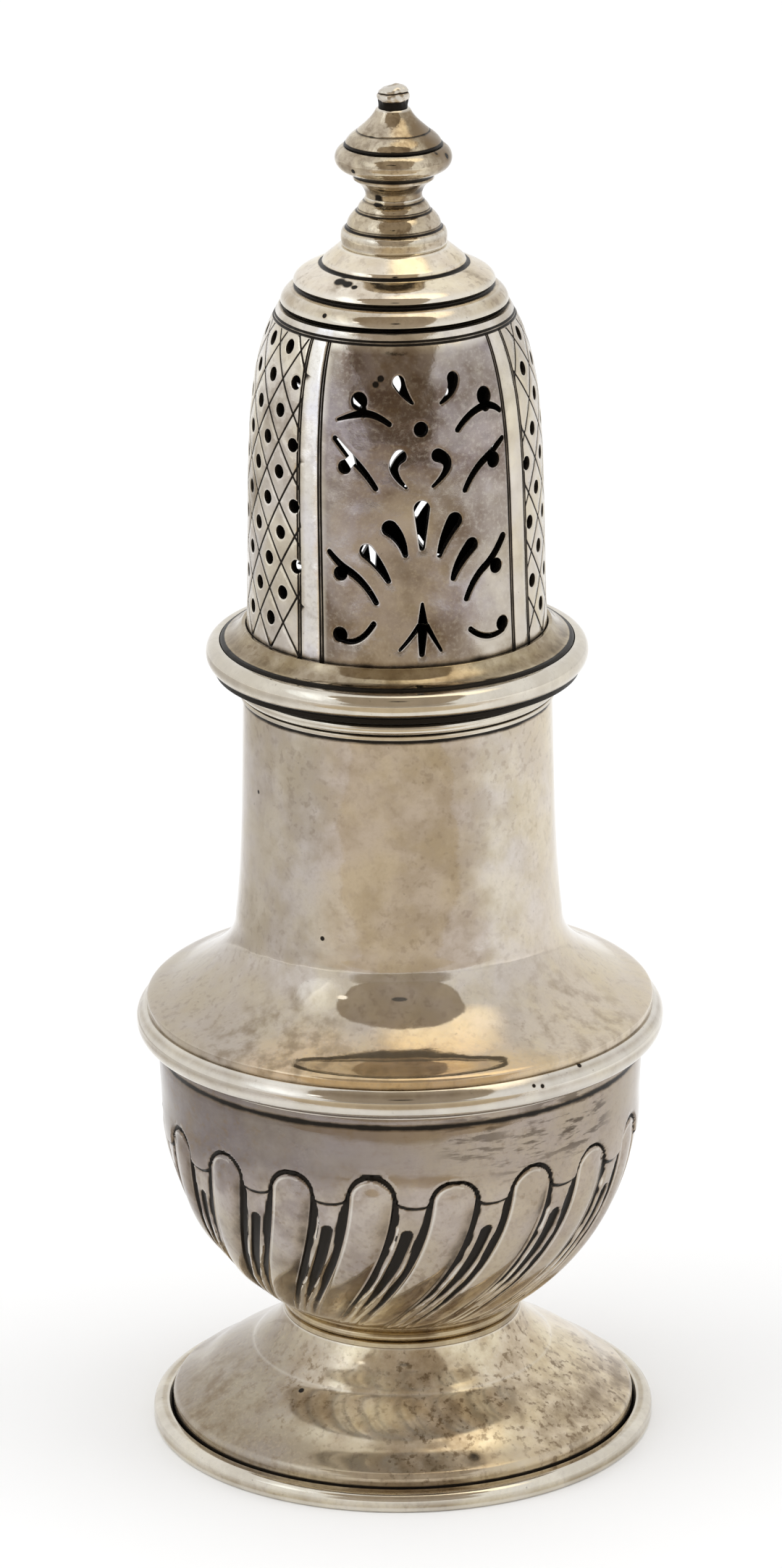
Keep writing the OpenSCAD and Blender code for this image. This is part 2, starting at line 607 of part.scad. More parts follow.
// Turned knop: a hollow neck, a fillet, a round bead, a cone and a pointed ogee
module finial_knop() {
    reach = knop_r - finial_waist_r;
    tip_r = button_r * 0.92;
    function at(x, y) = [finial_waist_r + reach * x, z_knop + knop_h * y];
    function up(r, y) = [r, z_knop + knop_h * y];
    color(worn_silver) turned(concat(
        [[pin_bore_r, z_knop]],
        curve([finial_waist_r, z_knop], 90, 0.45, at(0.41, 0.237), 35, 0.35, 8),
        [at(0.41, 0.275)],
        arc(at(0.55, 0.43), reach * 0.45, knop_h * 0.152, -85, 78, 14),
        [at(0.7, 0.592)],
        curve(at(0.66, 0.605), 110, 0.3, at(0.31, 0.73), 150, 0.3, 6),
        [at(0.25, 0.745)],
        curve(at(0.23, 0.755), 140, 0.4, up(tip_r + button_r * 0.1, 0.985), 115, 0.3, 8),
        [[tip_r, z_button], [pin_bore_r, z_button]]));
}

// Pin that holds the finial on the cap: riveted over inside, and headed by the button on top
module finial_pin() {
    rivet_z = z_finial - cap_wall;
    color(dark_silver) turned(concat(
        [[0, rivet_z - rivet_h], [rivet_r * 0.8, rivet_z - rivet_h], [rivet_r, rivet_z - rivet_h * 0.4],
         [rivet_r, rivet_z], [pin_r, rivet_z], [pin_r, z_button],
         [button_r * 0.88, z_button], [button_r * 0.88, z_button + button_h * 0.2]],
        curve([button_r * 0.95, z_button + button_h * 0.24], 60, 0.3,
              [0, z_button + button_h], 180, 0.45, 10)));
}

foot_wire();
foot();
stem_collet();
bowl();
girdle_wire();
shoulder_neck();
lip_wire();
cover_bezel();
cover_flange();
flange_wire();
pierced_drum();
cap_wire();
cap_dome();
finial_base();
finial_knop();
finial_pin();
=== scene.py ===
import bpy
import numpy as np
from mathutils import Matrix, Vector
from mathutils.geometry import delaunay_2d_cdt


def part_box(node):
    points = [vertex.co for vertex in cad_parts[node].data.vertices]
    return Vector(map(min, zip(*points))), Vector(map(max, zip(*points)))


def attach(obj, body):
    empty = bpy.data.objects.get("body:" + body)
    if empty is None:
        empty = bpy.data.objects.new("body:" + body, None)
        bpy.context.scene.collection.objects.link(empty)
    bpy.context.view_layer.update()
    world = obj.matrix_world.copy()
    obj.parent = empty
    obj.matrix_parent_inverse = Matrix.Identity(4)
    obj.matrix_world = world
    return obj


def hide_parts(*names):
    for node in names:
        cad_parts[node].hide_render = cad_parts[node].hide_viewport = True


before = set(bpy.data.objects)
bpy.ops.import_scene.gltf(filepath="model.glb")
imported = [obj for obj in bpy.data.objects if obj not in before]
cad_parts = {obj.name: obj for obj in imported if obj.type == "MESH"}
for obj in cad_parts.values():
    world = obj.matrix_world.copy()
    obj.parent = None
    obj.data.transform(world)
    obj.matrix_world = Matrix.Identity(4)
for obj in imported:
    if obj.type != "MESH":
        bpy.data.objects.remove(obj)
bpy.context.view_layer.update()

# Foot wire. A drawn and moulded silver wire, bent to a ring and soldered round the edge of the foot.
# Its face is worn bright, and the groove between wire and foot is dark with old polish and painted shade.
MM = 0.001
SHARP = np.radians(50)


def extent(node):
    """Largest radius, lowest and highest point of a node of the frame, in millimetres."""
    low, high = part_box(node)
    return high[0] / MM, low[2] / MM, high[2] / MM


def profile(*runs):
    """One path of (radius, height) points from single points and runs of points."""
    return np.vstack([np.atleast_2d(run) for run in runs])


def sweep(p, a, pull_p, q, b, pull_q, n=48):
    """A cubic curve that leaves p at angle a and reaches q at angle b, in degrees.

    Each pull is a share of the distance from p to q.
    """
    p, q = np.array(p, float), np.array(q, float)
    length, (a, b) = np.hypot(*(q - p)), np.radians([a, b])
    c = p + pull_p * (length * np.array([np.cos(a), np.sin(a)]))
    d = q - pull_q * (length * np.array([np.cos(b), np.sin(b)]))
    t = np.linspace(0, 1, n)[:, None]
    return (1 - t) ** 3 * p + 3 * (1 - t) ** 2 * t * c + 3 * (1 - t) * t ** 2 * d + t ** 3 * q


def arc(centre, rx, rz, start, end, n=32):
    """Points of an arc about a centre, from start to end in degrees, stretched by its two radii."""
    a = np.radians(np.linspace(start, end, n))
    return np.column_stack([centre[0] + rx * np.cos(a), centre[1] + rz * np.sin(a)])


def lengths_along(path):
    """The way from the start of a path to each of its points."""
    return np.concatenate([[0], np.cumsum(np.hypot(*np.diff(path, axis=0).T))])


def smooth(x, low, high):
    """Rises from 0 at low to 1 at high, level at both ends."""
    t = np.clip((x - low) / (high - low), 0, 1)
    return t * t * (3 - 2 * t)


def skin(name, grid, values, poles=False):
    """Quads over a grid of points in millimetres, joined from the last column to the first.

    The last row joins the first, or with poles the first and last row are one point each.
    """
    rows, columns = grid.shape[:2]
    index = np.arange(rows * columns).reshape(rows, columns)
    right = np.roll(index, -1, 1)
    if poles:
        index, right = index - columns + 1, right - columns + 1
        index[0] = right[0] = 0
        index[-1] = right[-1] = (rows - 2) * columns + 1
        quads = np.stack([index[1:-2], right[1:-2], right[2:-1], index[2:-1]], -1).reshape(-1, 4)
        fans = np.concatenate([np.column_stack([index[0], right[1], index[1]]),
                               np.column_stack([index[-2], right[-2], index[-1]])])
        points = np.concatenate([grid[0, :1], grid[1:-1].reshape(-1, 3), grid[-1, :1]])
        values = np.concatenate([values[0, :1], values[1:-1].ravel(), values[-1, :1]])
        faces = quads.tolist() + fans.tolist()
    else:
        quads = np.stack([index, right, np.roll(right, -1, 0), np.roll(index, -1, 0)], -1)
        faces = quads.reshape(-1, 4).tolist()
        points, values = grid.reshape(-1, 3), values.ravel()
    return piece(name, points, faces, values)


def added(name, data):
    """An object of the scene that holds this data."""
    obj = bpy.data.objects.new(name, data)
    bpy.context.scene.collection.objects.link(obj)
    return obj


def piece(name, points, faces, values):
    """A mesh object at the origin; values tell how far each point stands out (+1) or lies hollow (-1), with
    painted shade below zero and painted highlights above.
    """
    mesh = bpy.data.meshes.new(name)
    mesh.from_pydata((points * MM).tolist(), [], faces)
    mesh.attributes.new("relief_and_light", "FLOAT", "POINT").data.foreach_set("value", values.astype(np.float32))
    mesh.polygons.foreach_set("use_smooth", np.ones(len(mesh.polygons), bool))
    mesh.set_sharp_from_angle(angle=SHARP)
    return added(name, mesh)


def turned(name, path, corner=0.1, step=0.5, columns=240, poles=False, grime_and_light=None, ink=1.0):
    """A path of (radius, height) carried round the axis: a loop, or with poles a path from axis to axis.

    Corners are cut by quadratic curves, and rows of points lie closer together where the path bends.
    Each point's value is the distance from the path to its own average over a third of a millimetre, times
    the ink, less a share of soiling and painted shade given over radius and height, which paints a highlight
    where negative.
    """
    fine_step, blur_w, full_relief, bend_step = 0.03, 0.33, 0.05, np.radians(9)
    before, after = np.roll(path, 1, 0) - path, np.roll(path, -1, 0) - path
    lengths = [np.maximum(np.hypot(*v.T), 1e-9) for v in (before, after)]
    share = [np.minimum(0.5, corner / length)[:, None, None] for length in lengths]
    if poles:
        share = [s * (np.arange(len(path)) % (len(path) - 1) > 0)[:, None, None] for s in share]
    t = np.linspace(0, 1, 7)[None, :, None]
    cut = path[:, None] + (1 - t) ** 2 * share[0] * before[:, None] + t ** 2 * share[1] * after[:, None]
    cut = cut.reshape(-1, 2)
    cut = cut[np.hypot(*(np.roll(cut, -1, 0) - cut).T) > 1e-5]
    ends = cut if poles else np.vstack([cut, cut[:1]])
    run = lengths_along(ends)
    count = int(run[-1] / fine_step)
    fine_at = np.linspace(0, run[-1], count, endpoint=poles)
    fine = np.column_stack([np.interp(fine_at, run, ends[:, k]) for k in (0, 1)])
    ahead = np.roll(fine, -1, 0) - np.roll(fine, 1, 0)
    heading = np.arctan2(ahead[:, 1], ahead[:, 0])
    blur = np.exp(-2 * (np.pi * blur_w * np.fft.fftfreq(count, fine_step)) ** 2)[:, None]
    softened = np.fft.ifft(np.fft.fft(fine, axis=0) * blur, axis=0).real
    normal = np.column_stack([np.sin(heading), -np.cos(heading)])
    relief_and_light = np.clip(ink * np.sum((fine - softened) * normal, 1) / full_relief, -1, 1)
    if grime_and_light:
        relief_and_light = np.clip(relief_and_light - 2 * grime_and_light(*fine.T), -1, 1)
    bend = np.abs(np.angle(np.exp(1j * (np.roll(heading, -1) - heading))))
    if poles:
        relief_and_light[:20] = relief_and_light[-20:] = 0
        bend[:2] = bend[-2:] = 0
    weight = np.concatenate([[0], np.cumsum(fine_step / step + bend / bend_step)])
    weight = weight[:count if poles else count + 1]
    rows = np.linspace(0, weight[-1], int(np.ceil(weight[-1])) + 1)
    rows = rows if poles else rows[:-1]
    at = np.interp(rows, weight, np.arange(len(weight)))
    wrap = lambda v: np.interp(at, np.arange(len(weight)), v if poles else np.append(v, v[0]))
    r, z = wrap(fine[:, 0]), wrap(fine[:, 1])
    a = np.linspace(0, 2 * np.pi, columns, endpoint=False)
    grid = np.stack([r[:, None] * np.sin(a), -r[:, None] * np.cos(a), z[:, None] + 0 * a], -1)
    return skin(name, grid, wrap(relief_and_light)[:, None] + 0 * a, poles)


class Field:
    """A value that varies over a surface: a node's output, with arithmetic that adds nodes."""

    def __init__(self, tree, socket=None):
        self.tree, self.socket = tree, socket

    def node(self, kind, settings, inputs, output=0):
        """Adds a node with its settings and inputs, where a field is linked and any other value is set."""
        made = self.tree.nodes.new(kind)
        for key, value in settings.items():
            setattr(made, key, value)
        for key, value in inputs.items():
            if isinstance(value, Field):
                self.tree.links.new(value.socket, made.inputs[key])
            else:
                made.inputs[key].default_value = value
        return Field(self.tree, made.outputs[output] if made.outputs else None)

    def math(self, operation, a, b):
        """One step of arithmetic on two values."""
        return self.node("ShaderNodeMath", {"operation": operation}, {0: a, 1: b})

    def __add__(self, other):
        return self.math("ADD", self, other)

    def __sub__(self, other):
        return self.math("SUBTRACT", self, other)

    def __rsub__(self, other):
        return self.math("SUBTRACT", other, self)

    def __mul__(self, other):
        return self.math("MULTIPLY", self, other)

    __radd__, __rmul__ = __add__, __mul__

    def smooth(self, low, high):
        """Rises from 0 at low to 1 at high, level at both ends."""
        return self.node("ShaderNodeMapRange", {"interpolation_type": "SMOOTHSTEP"},
                         {"Value": self, "From Min": low, "From Max": high})

    def blend(self, a, b):
        """Colour a where this value is 0, b where it is 1, and a mixture in between."""
        a, b = [tone if isinstance(tone, Field) else (*tone, 1) for tone in (a, b)]
        return self.node("ShaderNodeMix", {"data_type": "RGBA"}, {0: self, 6: a, 7: b}, 2)


def blank(block):
    """A field on the emptied node tree of a material or world."""
    block.use_nodes = True
    block.node_tree.nodes.clear()
    return Field(block.node_tree)


BROWN, SOOT, BLACK = (0.20, 0.14, 0.08), (0.07, 0.05, 0.035), (0.014, 0.011, 0.008)
PIT, POLISH_AND_GLINT, STRAP_HIGHLIGHT = (0.09, 0.075, 0.06), (0.80, 0.77, 0.70), (0.88, 0.89, 0.92)
WARM, COOL = (1.0, 0.93, 0.77), (0.95, 0.91, 0.96)


def silver(name, pale, deep, stain, stained, shine, zones=(), veil=0.0, freckles=0.2, ripple=1.0,
           blots=(), streaks=(), specks=(), panel=None):
    """Old silver: pale metal with deeper clouds, stained in patches, black where soiled and where shade is
    painted, and bright on edges from wear and painted highlights.

    Each zone gives an axis, the places on it between which another colour comes in, that colour and its
    share. The veil is the share of a dull film over the metal, freckles are fine brown spots in the deeper
    clouds, and the ripple tells how uneven the hammered sheet is. Blots, streaks and specks of soiling are
    given by centre, radius and share. The panel gives two tones for what that attribute marks, and a painted
    highlight where it is negative.
    """
    material = bpy.data.materials.new(name)
    field = blank(material)
    place = field.node("ShaderNodeTexCoord", {}, {}, "Object")

    def noise(scale, detail, stretch=(1, 1, 1)):
        """Noise of so many waves to the metre, times the stretch along each axis."""
        laid = place.node("ShaderNodeVectorMath", {"operation": "MULTIPLY"}, {0: place, 1: stretch})
        return field.node("ShaderNodeTexNoise", {},
                          {"Vector": laid, "Scale": scale, "Detail": detail, "Roughness": 0.6})

    relief_and_light = field.node("ShaderNodeAttribute", {"attribute_name": "relief_and_light"}, {}, 2)
    cloud = noise(70, 3)
    mottle = noise(330, 6)
    grain = noise(2600, 3)

    def near(centre, radius):
        """1 in the middle of a spot, down to 0 at its radius."""
        spot = [c * MM for c in centre]
        away = place.node("ShaderNodeVectorMath", {"operation": "DISTANCE"}, {0: place, 1: spot}, 1)
        return (1 - away * (1 / (radius * MM))).smooth(0, 0.6)

    for *centre, radius, share in blots:
        relief_and_light = relief_and_light - near(centre, radius) * (1.6 * share)
    level = [field.node("ShaderNodeSeparateXYZ", {}, {0: place}, k) + (cloud - 0.5) * 0.012 for k in range(3)]
    # Black where hollows are soiled and where the pieces carry painted shade
    dirt_and_shade = (0 - relief_and_light + (mottle - 0.5) * 0.5).smooth(0.1, 0.42)
    edge = relief_and_light.smooth(0.15, 0.8)
    patch = (cloud * 0.6 + mottle * 0.4).smooth(0.58 - stained, 0.72 - stained * 0.6)
    pits = noise(1700, 3).smooth(0.68, 0.75)
    colour = (cloud * 0.55 + mottle * 0.45).smooth(0.41, 0.59).blend(pale, deep)
    for axis, start, full, tone, share in zones:
        colour = (level[axis].smooth(start * MM, full * MM) * share).blend(colour, tone)
    if panel:
        marked = field.node("ShaderNodeAttribute", {"attribute_name": "panel"}, {}, 2)
        panel_tone = noise(110, 4).smooth(0.4, 0.6).blend(panel[0], panel[1])
        colour = (marked * (cloud * 2.4 - 0.2)).blend(colour, panel_tone)
        # A pale painted highlight where the panel attribute is negative
        colour = (0 - marked).blend(colour, STRAP_HIGHLIGHT)
    tint = noise(150, 5).smooth(0.38, 0.62).blend(WARM, COOL)
    colour = field.node("ShaderNodeMix", {"data_type": "RGBA", "blend_type": "MULTIPLY"},
                        {0: 0.5, 6: colour, 7: tint}, 2)
    colour = (patch * (0.4 + grain * 0.9)).blend(colour, stain)
    spots = noise(1200, 6).smooth(0.52, 0.64) * (0.35 + cloud.smooth(0.42, 0.62) * 0.65)
    colour = (spots * freckles).blend(colour, BROWN)
    colour = (grain.smooth(0.45, 0.75) * 0.35).blend(colour, deep)
    # Brown towards hollows: soiling, and the painted shade that the pieces carry
    colour = ((0 - relief_and_light).smooth(0.01, 0.22) * 0.5).blend(colour, BROWN)
    for marks, mask, tone in ((streaks, noise(260, 6, (1, 1, 5)).smooth(0.5, 0.6), SOOT),
                              (specks, noise(480, 9).smooth(0.42, 0.68), BROWN)):
        for *centre, radius, share in marks:
            colour = (near(centre, radius) * share * mask).blend(colour, tone)
    # Pale on edges, from wear and from painted highlights
    colour = (edge * 0.55).blend(colour, POLISH_AND_GLINT)
    colour = (pits * 0.35).blend(colour, PIT)
    colour = dirt_and_shade.blend(colour, BLACK)
    rough = shine + patch * 0.14 + (grain - 0.5) * 0.06 + dirt_and_shade * 0.3
    height = noise(95, 1) * 0.4 + noise(260, 1) * (0.05 * ripple) + mottle * (0.012 * ripple) + grain * 0.003
    bump = field.node("ShaderNodeBump", {}, {"Strength": 0.5, "Distance": 0.0008, "Height": height})
    shader = field.node("ShaderNodeBsdfPrincipled", {}, {
        "Base Color": colour, "Metallic": (1 - dirt_and_shade * 0.15) * (1 - veil), "Roughness": rough, "Normal": bump})
    field.node("ShaderNodeOutputMaterial", {}, {"Surface": shader})
    return material


def finish_piece(obj, material, body, node):
    """Gives a piece its metal and its body, and hides the CAD node that it stands for."""
    obj.data.materials.append(material)
    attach(obj, body)
    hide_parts(node)


wire_metal = silver(
    "wire_silver", (0.58, 0.525, 0.415), (0.35, 0.285, 0.185), BROWN, 0.0, 0.09, freckles=0.5, ripple=1.5)
foot_r, floor_z, wire_top = extent("foot_wire")
dome_r, ledge_z, foot_top = extent("foot")
foot_wall, foot_gap, edge = 0.9, 0.05, 0.4
foot_wire = turned("foot_wire_ring", profile(
    [dome_r - foot_wall, floor_z], [foot_r - edge, floor_z],
    arc([foot_r - edge, edge], edge, edge, -60, 0), [foot_r, wire_top * 0.65],
    sweep([foot_r - 0.12, wire_top * 0.82], 130, 0.4, [dome_r + 0.45, wire_top], 180, 0.4),
    [dome_r + foot_gap, wire_top - edge], [dome_r + foot_gap, ledge_z], [dome_r - foot_wall, ledge_z]),
    # Dark on the inner side by the foot: old polish and painted shade
    grime_and_light=lambda r, z: smooth(dome_r + 0.24 - r, 0, 0.14))
finish_piece(foot_wire, wire_metal, "body", "foot_wire")

# Foot. Silver sheet raised into a low trumpet: a rolled edge, a hollow sweep with faint mouldings, and a
# crease below the stem. It is hollow underneath and is soldered to the ledge of its wire.
collet_r, _, collet_top = extent("stem_collet")
roll_r, roll_z, foot_slope, crease_r = 0.9, 2.75, 31, 16.2


def shell(outer, wall):
    """The loop of a sheet whose outer face runs upwards along a path, with level ends."""
    ahead = np.gradient(outer, axis=0)
    inner = outer + wall * np.column_stack([-ahead[:, 1], ahead[:, 0]]) / np.hypot(*ahead.T)[:, None]
    inner[0], inner[-1] = outer[0] - [wall, 0], outer[-1] - [wall, 0]
    inside = (inner[:, 1] >= outer[0, 1]) & (inner[:, 1] <= outer[-1, 1])
    return profile(outer, inner[inside][::-1])


def climb(run, at, slopes):
    """Height gained along radii that run inwards, from slopes in degrees at some of the radii."""
    slope = np.interp(-run, -np.array(at), slopes)
    return np.concatenate([[0], np.cumsum(np.tan(np.radians(slope[1:])) * -np.diff(run))])


roll = np.array([dome_r - roll_r, roll_z])
leave = roll + roll_r * np.array([np.sin(np.radians(foot_slope)), np.cos(np.radians(foot_slope))])
dome_run = np.linspace(leave[0], collet_r, 240)
dome_rise = climb(
    dome_run,
    [24.6, 23.4, 22.7, 22, 21.3, 20.3, 19, 17.5, 16.6, 16.3, 16.05, 15.7, 15.2, 14.6, 13.9, 13.3, 12.9],
    [foot_slope, 30, 33, 38.5, 38, 31, 28.5, 29, 33, 40, 47, 42, 40.5, 43, 50, 60, 68])
dome_rise *= (foot_top - leave[1]) / dome_rise[-1]
foot_path = profile(
    [dome_r, ledge_z], arc(roll, roll_r, roll_r, 0, 90 - foot_slope),
    np.column_stack([dome_run, leave[1] + dome_rise])[1:])
foot = turned("foot_dome", shell(foot_path, foot_wall), step=0.4, ink=0.3,
              # Darker inside the roll by the wire, soiling and painted shade, and a painted highlight along
              # the crease
              grime_and_light=lambda r, z: (smooth(roll_z - 0.55 - z, 0, 0.3) * smooth(r, dome_r - 0.4, dome_r - 0.15)
                                  - 0.25 * np.exp(-((r - crease_r) / 0.22) ** 2)))
finish_piece(foot, silver(
    "foot_silver", (0.76, 0.70, 0.56), (0.50, 0.41, 0.28), BROWN, 0.05, 0.11,
    # Browner towards the rim; the left side darker with painted shade and the right side lighter with a
    # painted golden reflection
    zones=[(2, 6, 3, (0.36, 0.28, 0.175), 0.65), (0, -4, -15, (0.26, 0.225, 0.185), 0.8),
           (0, 8, 17, (0.72, 0.62, 0.45), 0.5)],
    veil=0.3, freckles=0.9, ripple=2,
    blots=[(-10.9, -13.2, 8.2, 0.4, 0.6), (7.5, -22.2, 4.2, 0.9, 0.16)],
    specks=[(-24, -9, 4, 14, 0.75), (22, -10, 4, 13, 0.6), (4, -25, 3, 9, 0.4)]),
    "body", "foot")

# Stem collet. A turned silver ring, a flat fillet below and a bead above.
# It is soldered between foot and bowl, and has kept a warm, dull tone where cloths don't reach.
stem_r, collet_wall, collet_proud, fillet_proud, collet_groove = 12.6, 2.0, 0.3, 0.24, 0.12
collet_h = collet_top - foot_top
bead = collet_h * 0.3
collet = turned("stem_collet_ring", profile(
    [stem_r - collet_wall, foot_top], [stem_r + fillet_proud, foot_top],
    [stem_r + fillet_proud, foot_top + collet_h * 0.3], [stem_r - collet_groove, foot_top + collet_h * 0.38],
    arc([stem_r + collet_proud - bead, foot_top + collet_h * 0.68], bead, bead, -70, 65),
    [stem_r - collet_groove, collet_top], [stem_r - collet_wall, collet_top]), corner=0.06, ink=0.12)
finish_piece(collet, silver(
    "collet_silver", (0.48, 0.40, 0.27), (0.34, 0.27, 0.17), BROWN, 0.0, 0.1, freckles=0.5, ripple=2),
    "body", "stem_collet")

# Bowl. Silver sheet raised to a half ball, its swirling lobes chased in from the outside and from behind.
# Each lobe has a round top and a channel down each side; between two lobes a web carries a round-topped slot.
bowl_top_r, bowl_z, girdle_z = extent("bowl")
bowl_r, bowl_wall, lobe_count, lobe_swirl, lobe_turn = 25.7, 1.1, 18, 32, -7
widest_z = bowl_z + np.sqrt(bowl_r ** 2 - stem_r ** 2)
arc_end = np.arccos(stem_r / bowl_r)
lobe_columns, lobe_top, slot_top, full_pitch = 42, 2.27, 6.4, 8.97
lobe_share, slot_share, channel_w, channel_more = 0.252, 0.073, 0.52, 0.56
pillow_depth, web_depth, channel_depth, slot_depth, rim_depth = 0.38, 0.22, 0.42, 0.34, 0.12


def chasing(across, down, waver):
    """How deep and how dark the chasing lies, with painted shade and highlights in its darkness, over shares
    of a pitch and millimetres below the widest line.

    A lobe is the space within a half width of its middle line, closed by a half circle at its top. A channel
    follows its outline, narrow over the top and wide at the sides, and the waver, a share, widens and narrows
    it as it runs down. The slot is the same shape as a lobe, half a pitch aside.
    """
    latitude = np.minimum(down / bowl_r, arc_end)
    pitch = 2 * np.pi * bowl_r * np.cos(np.maximum(latitude, 0)) / lobe_count
    fade = smooth(arc_end * bowl_r * 0.95 - down, 0, 8)
    x = np.abs(across) * pitch
    half = lobe_share * pitch
    arch = lambda x, top, half: np.where(down < top, np.hypot(x, down - top), x) - half
    lobe = arch(x, lobe_top, half)
    width = (channel_w + channel_more * smooth(down, 1.6, 4.2)) * (pitch / full_pitch) ** 1.3 * (1 + waver)
    channel = smooth(lobe, -0.1, 0.18) * smooth(width + 0.1 - lobe, 0, 0.26)
    aside = np.abs(np.abs(across) - 0.5) * pitch
    slot_half = slot_share * pitch * smooth(25 - down, 0, 14)
    slot_gap = arch(aside, slot_top, slot_half)
    slot = smooth(0.14 - slot_gap, 0, 0.28)
    scallop = 2.55 + 0.4 * (1 - np.minimum(1, (aside / (0.2 * pitch)) ** 2))
    web = smooth(down - scallop, -0.06, 0.1) * smooth(lobe, 0, 0.3)
    line = np.exp(-((down - scallop) / 0.17) ** 2) * smooth(lobe, 0.1, 0.4)
    pillow = pillow_depth * np.clip(1 + lobe / half, 0, 1) ** 2 * smooth(0.05 - lobe, 0, 0.2)
    pillow = pillow * smooth(down, -0.3, 2)
    depth = (pillow + web_depth * web + channel_depth * channel * (1 - 0.35 * web)
             + slot_depth * slot + rim_depth * line)
    core = smooth(lobe, -0.02, 0.2) * smooth(width + 0.02 - lobe, 0, 0.26)
    dark = np.maximum(np.maximum(core, smooth(0.06 - slot_gap, 0, 0.24)), line * 0.9)
    dark = dark * (1 - 0.75 * smooth(down, 10, 22))
    # Painted highlights along the left of each lobe's outline, on the webs low down and in ragged strips
    # beside some channels; painted shade over the right of each lobe and a little towards the bottom
    glint = smooth(lobe, -0.6, -0.25) * smooth(-0.02 - lobe, 0, 0.15)
    glint = glint * smooth(down, -0.2, 0.6) * (across < 0.1)
    shade = 0.22 * smooth(across, 0.0, 0.26) * smooth(down, 1, 4) * (lobe < 0) + 0.04 * smooth(down, 12, 20)
    ridge_glint = smooth(lobe - width, 0, 0.12) * smooth(slot_gap, 0.1, 0.25) * smooth(down, 7, 14)
    edge_light = smooth(lobe - width, -0.4, -0.2) * smooth(width + 0.08 - lobe, 0, 0.15) * smooth(waver, 0.0, 0.1)
    edge_light *= smooth(down, 4, 5.5) * smooth(13 - down, 0, 3) * (across > 0)
    return depth * fade, (dark + shade - 0.7 * glint - ridge_glint - 1.4 * edge_light) * smooth(fade, 0, 0.5)


# The chased half ball from the stem up, its lobes a little uneven, as from hand work
down = np.concatenate([np.linspace(arc_end * bowl_r, 7.5, 52, endpoint=False), np.linspace(7.5, -0.6, 46)])
column_at = np.arange(lobe_columns * lobe_count)
lobe_at = column_at / lobe_columns
across = (column_at + 0.5) / lobe_columns % 1 - 0.5
turn = np.radians(lobe_turn + column_at * 360 / len(column_at) - 180 / lobe_count + 180 / len(column_at))
by_hand = np.random.default_rng(3).normal(0, 1, (2, lobe_count))
uneven, drift = [np.interp(lobe_at, np.arange(lobe_count) + 0.5, row, period=lobe_count)[None, :]
                 for row in by_hand]
depth, dark = chasing(across[None, :] + 0.008 * drift, down[:, None] + 0.16 * uneven,
                      0.14 * np.sin(0.9 * down[:, None] + 3 * drift) + 0.06 * uneven)
swirl = np.radians(lobe_swirl) * (np.maximum(down, 0) / (arc_end * bowl_r)) ** 2
ball = bowl_r - depth
latitude = -down[:, None] / bowl_r
chased = [ball * np.cos(latitude), widest_z + ball * np.sin(latitude), turn[None, :] - swirl[:, None]]
# The plain band above the lobes with its fillet, then the inside and the floor
band_z = np.linspace(0, 1, 14)[1:]
fillet = 0.1 * np.exp(-((band_z - 0.84) / 0.035) ** 2)
band = profile(
    np.column_stack([bowl_r + (bowl_top_r - bowl_r) * smooth(band_z, 0, 0.7) - fillet,
                     widest_z + 0.6 + (girdle_z - widest_z - 0.6) * band_z]),
    [bowl_top_r - bowl_wall, girdle_z])
inner_r, floor_r = bowl_r - bowl_wall, 8
inner_end = np.arcsin((widest_z - bowl_z - bowl_wall) / inner_r)
lining = arc([0, widest_z], inner_r, inner_r, 0, -np.degrees(inner_end), 14)
under = profile([0, bowl_z], [floor_r, bowl_z])
plain = profile(band, lining, [floor_r, bowl_z + bowl_wall], [0, bowl_z + bowl_wall])
rings = lambda column: np.repeat(column[:, None], len(turn), 1)
r = np.concatenate([rings(under[:, 0]), chased[0], rings(plain[:, 0])])
z = np.concatenate([rings(under[:, 1]), chased[1], rings(plain[:, 1])])
a = np.concatenate([chased[2][:1], chased[2][:1], chased[2], np.repeat(turn[None, :], len(plain), 0)])
# Dark channels and fillet, with the painted shade and highlights of the chasing
inked = np.append(-5.5 * fillet, np.zeros(len(plain) - len(fillet)))
dirt_and_light = np.concatenate([rings(np.zeros(2)), -dark, rings(inked)])
bowl = skin("bowl_chased", np.stack([r * np.sin(a), -r * np.cos(a), z], -1), dirt_and_light, poles=True)
finish_piece(bowl, silver(
    "bowl_silver", (0.45, 0.405, 0.355), (0.28, 0.24, 0.215), BROWN, 0.02, 0.09,
    # Golden low on the bowl, tarnish and a painted warm reflection; a dark band at the top, tarnish and a
    # painted dark reflection; warmer away from the left, a painted reflection
    zones=[(2, 27, 19, (0.60, 0.50, 0.32), 0.8), (2, 34, 38, (0.17, 0.147, 0.14), 0.75),
           (0, -14, 12, (0.45, 0.385, 0.31), 0.65)],
    veil=0.1, freckles=0.6, ripple=2.6, specks=[(-5.6, -24.8, 36.4, 3, 0.8)],
    streaks=[(7.5, -24.8, 42, 5, 0.6), (15.7, -20.6, 41.5, 6, 0.6), (19.5, -17, 41, 6, 0.7),
             (12, -23, 39, 4, 0.45)]),
    "body", "bowl")

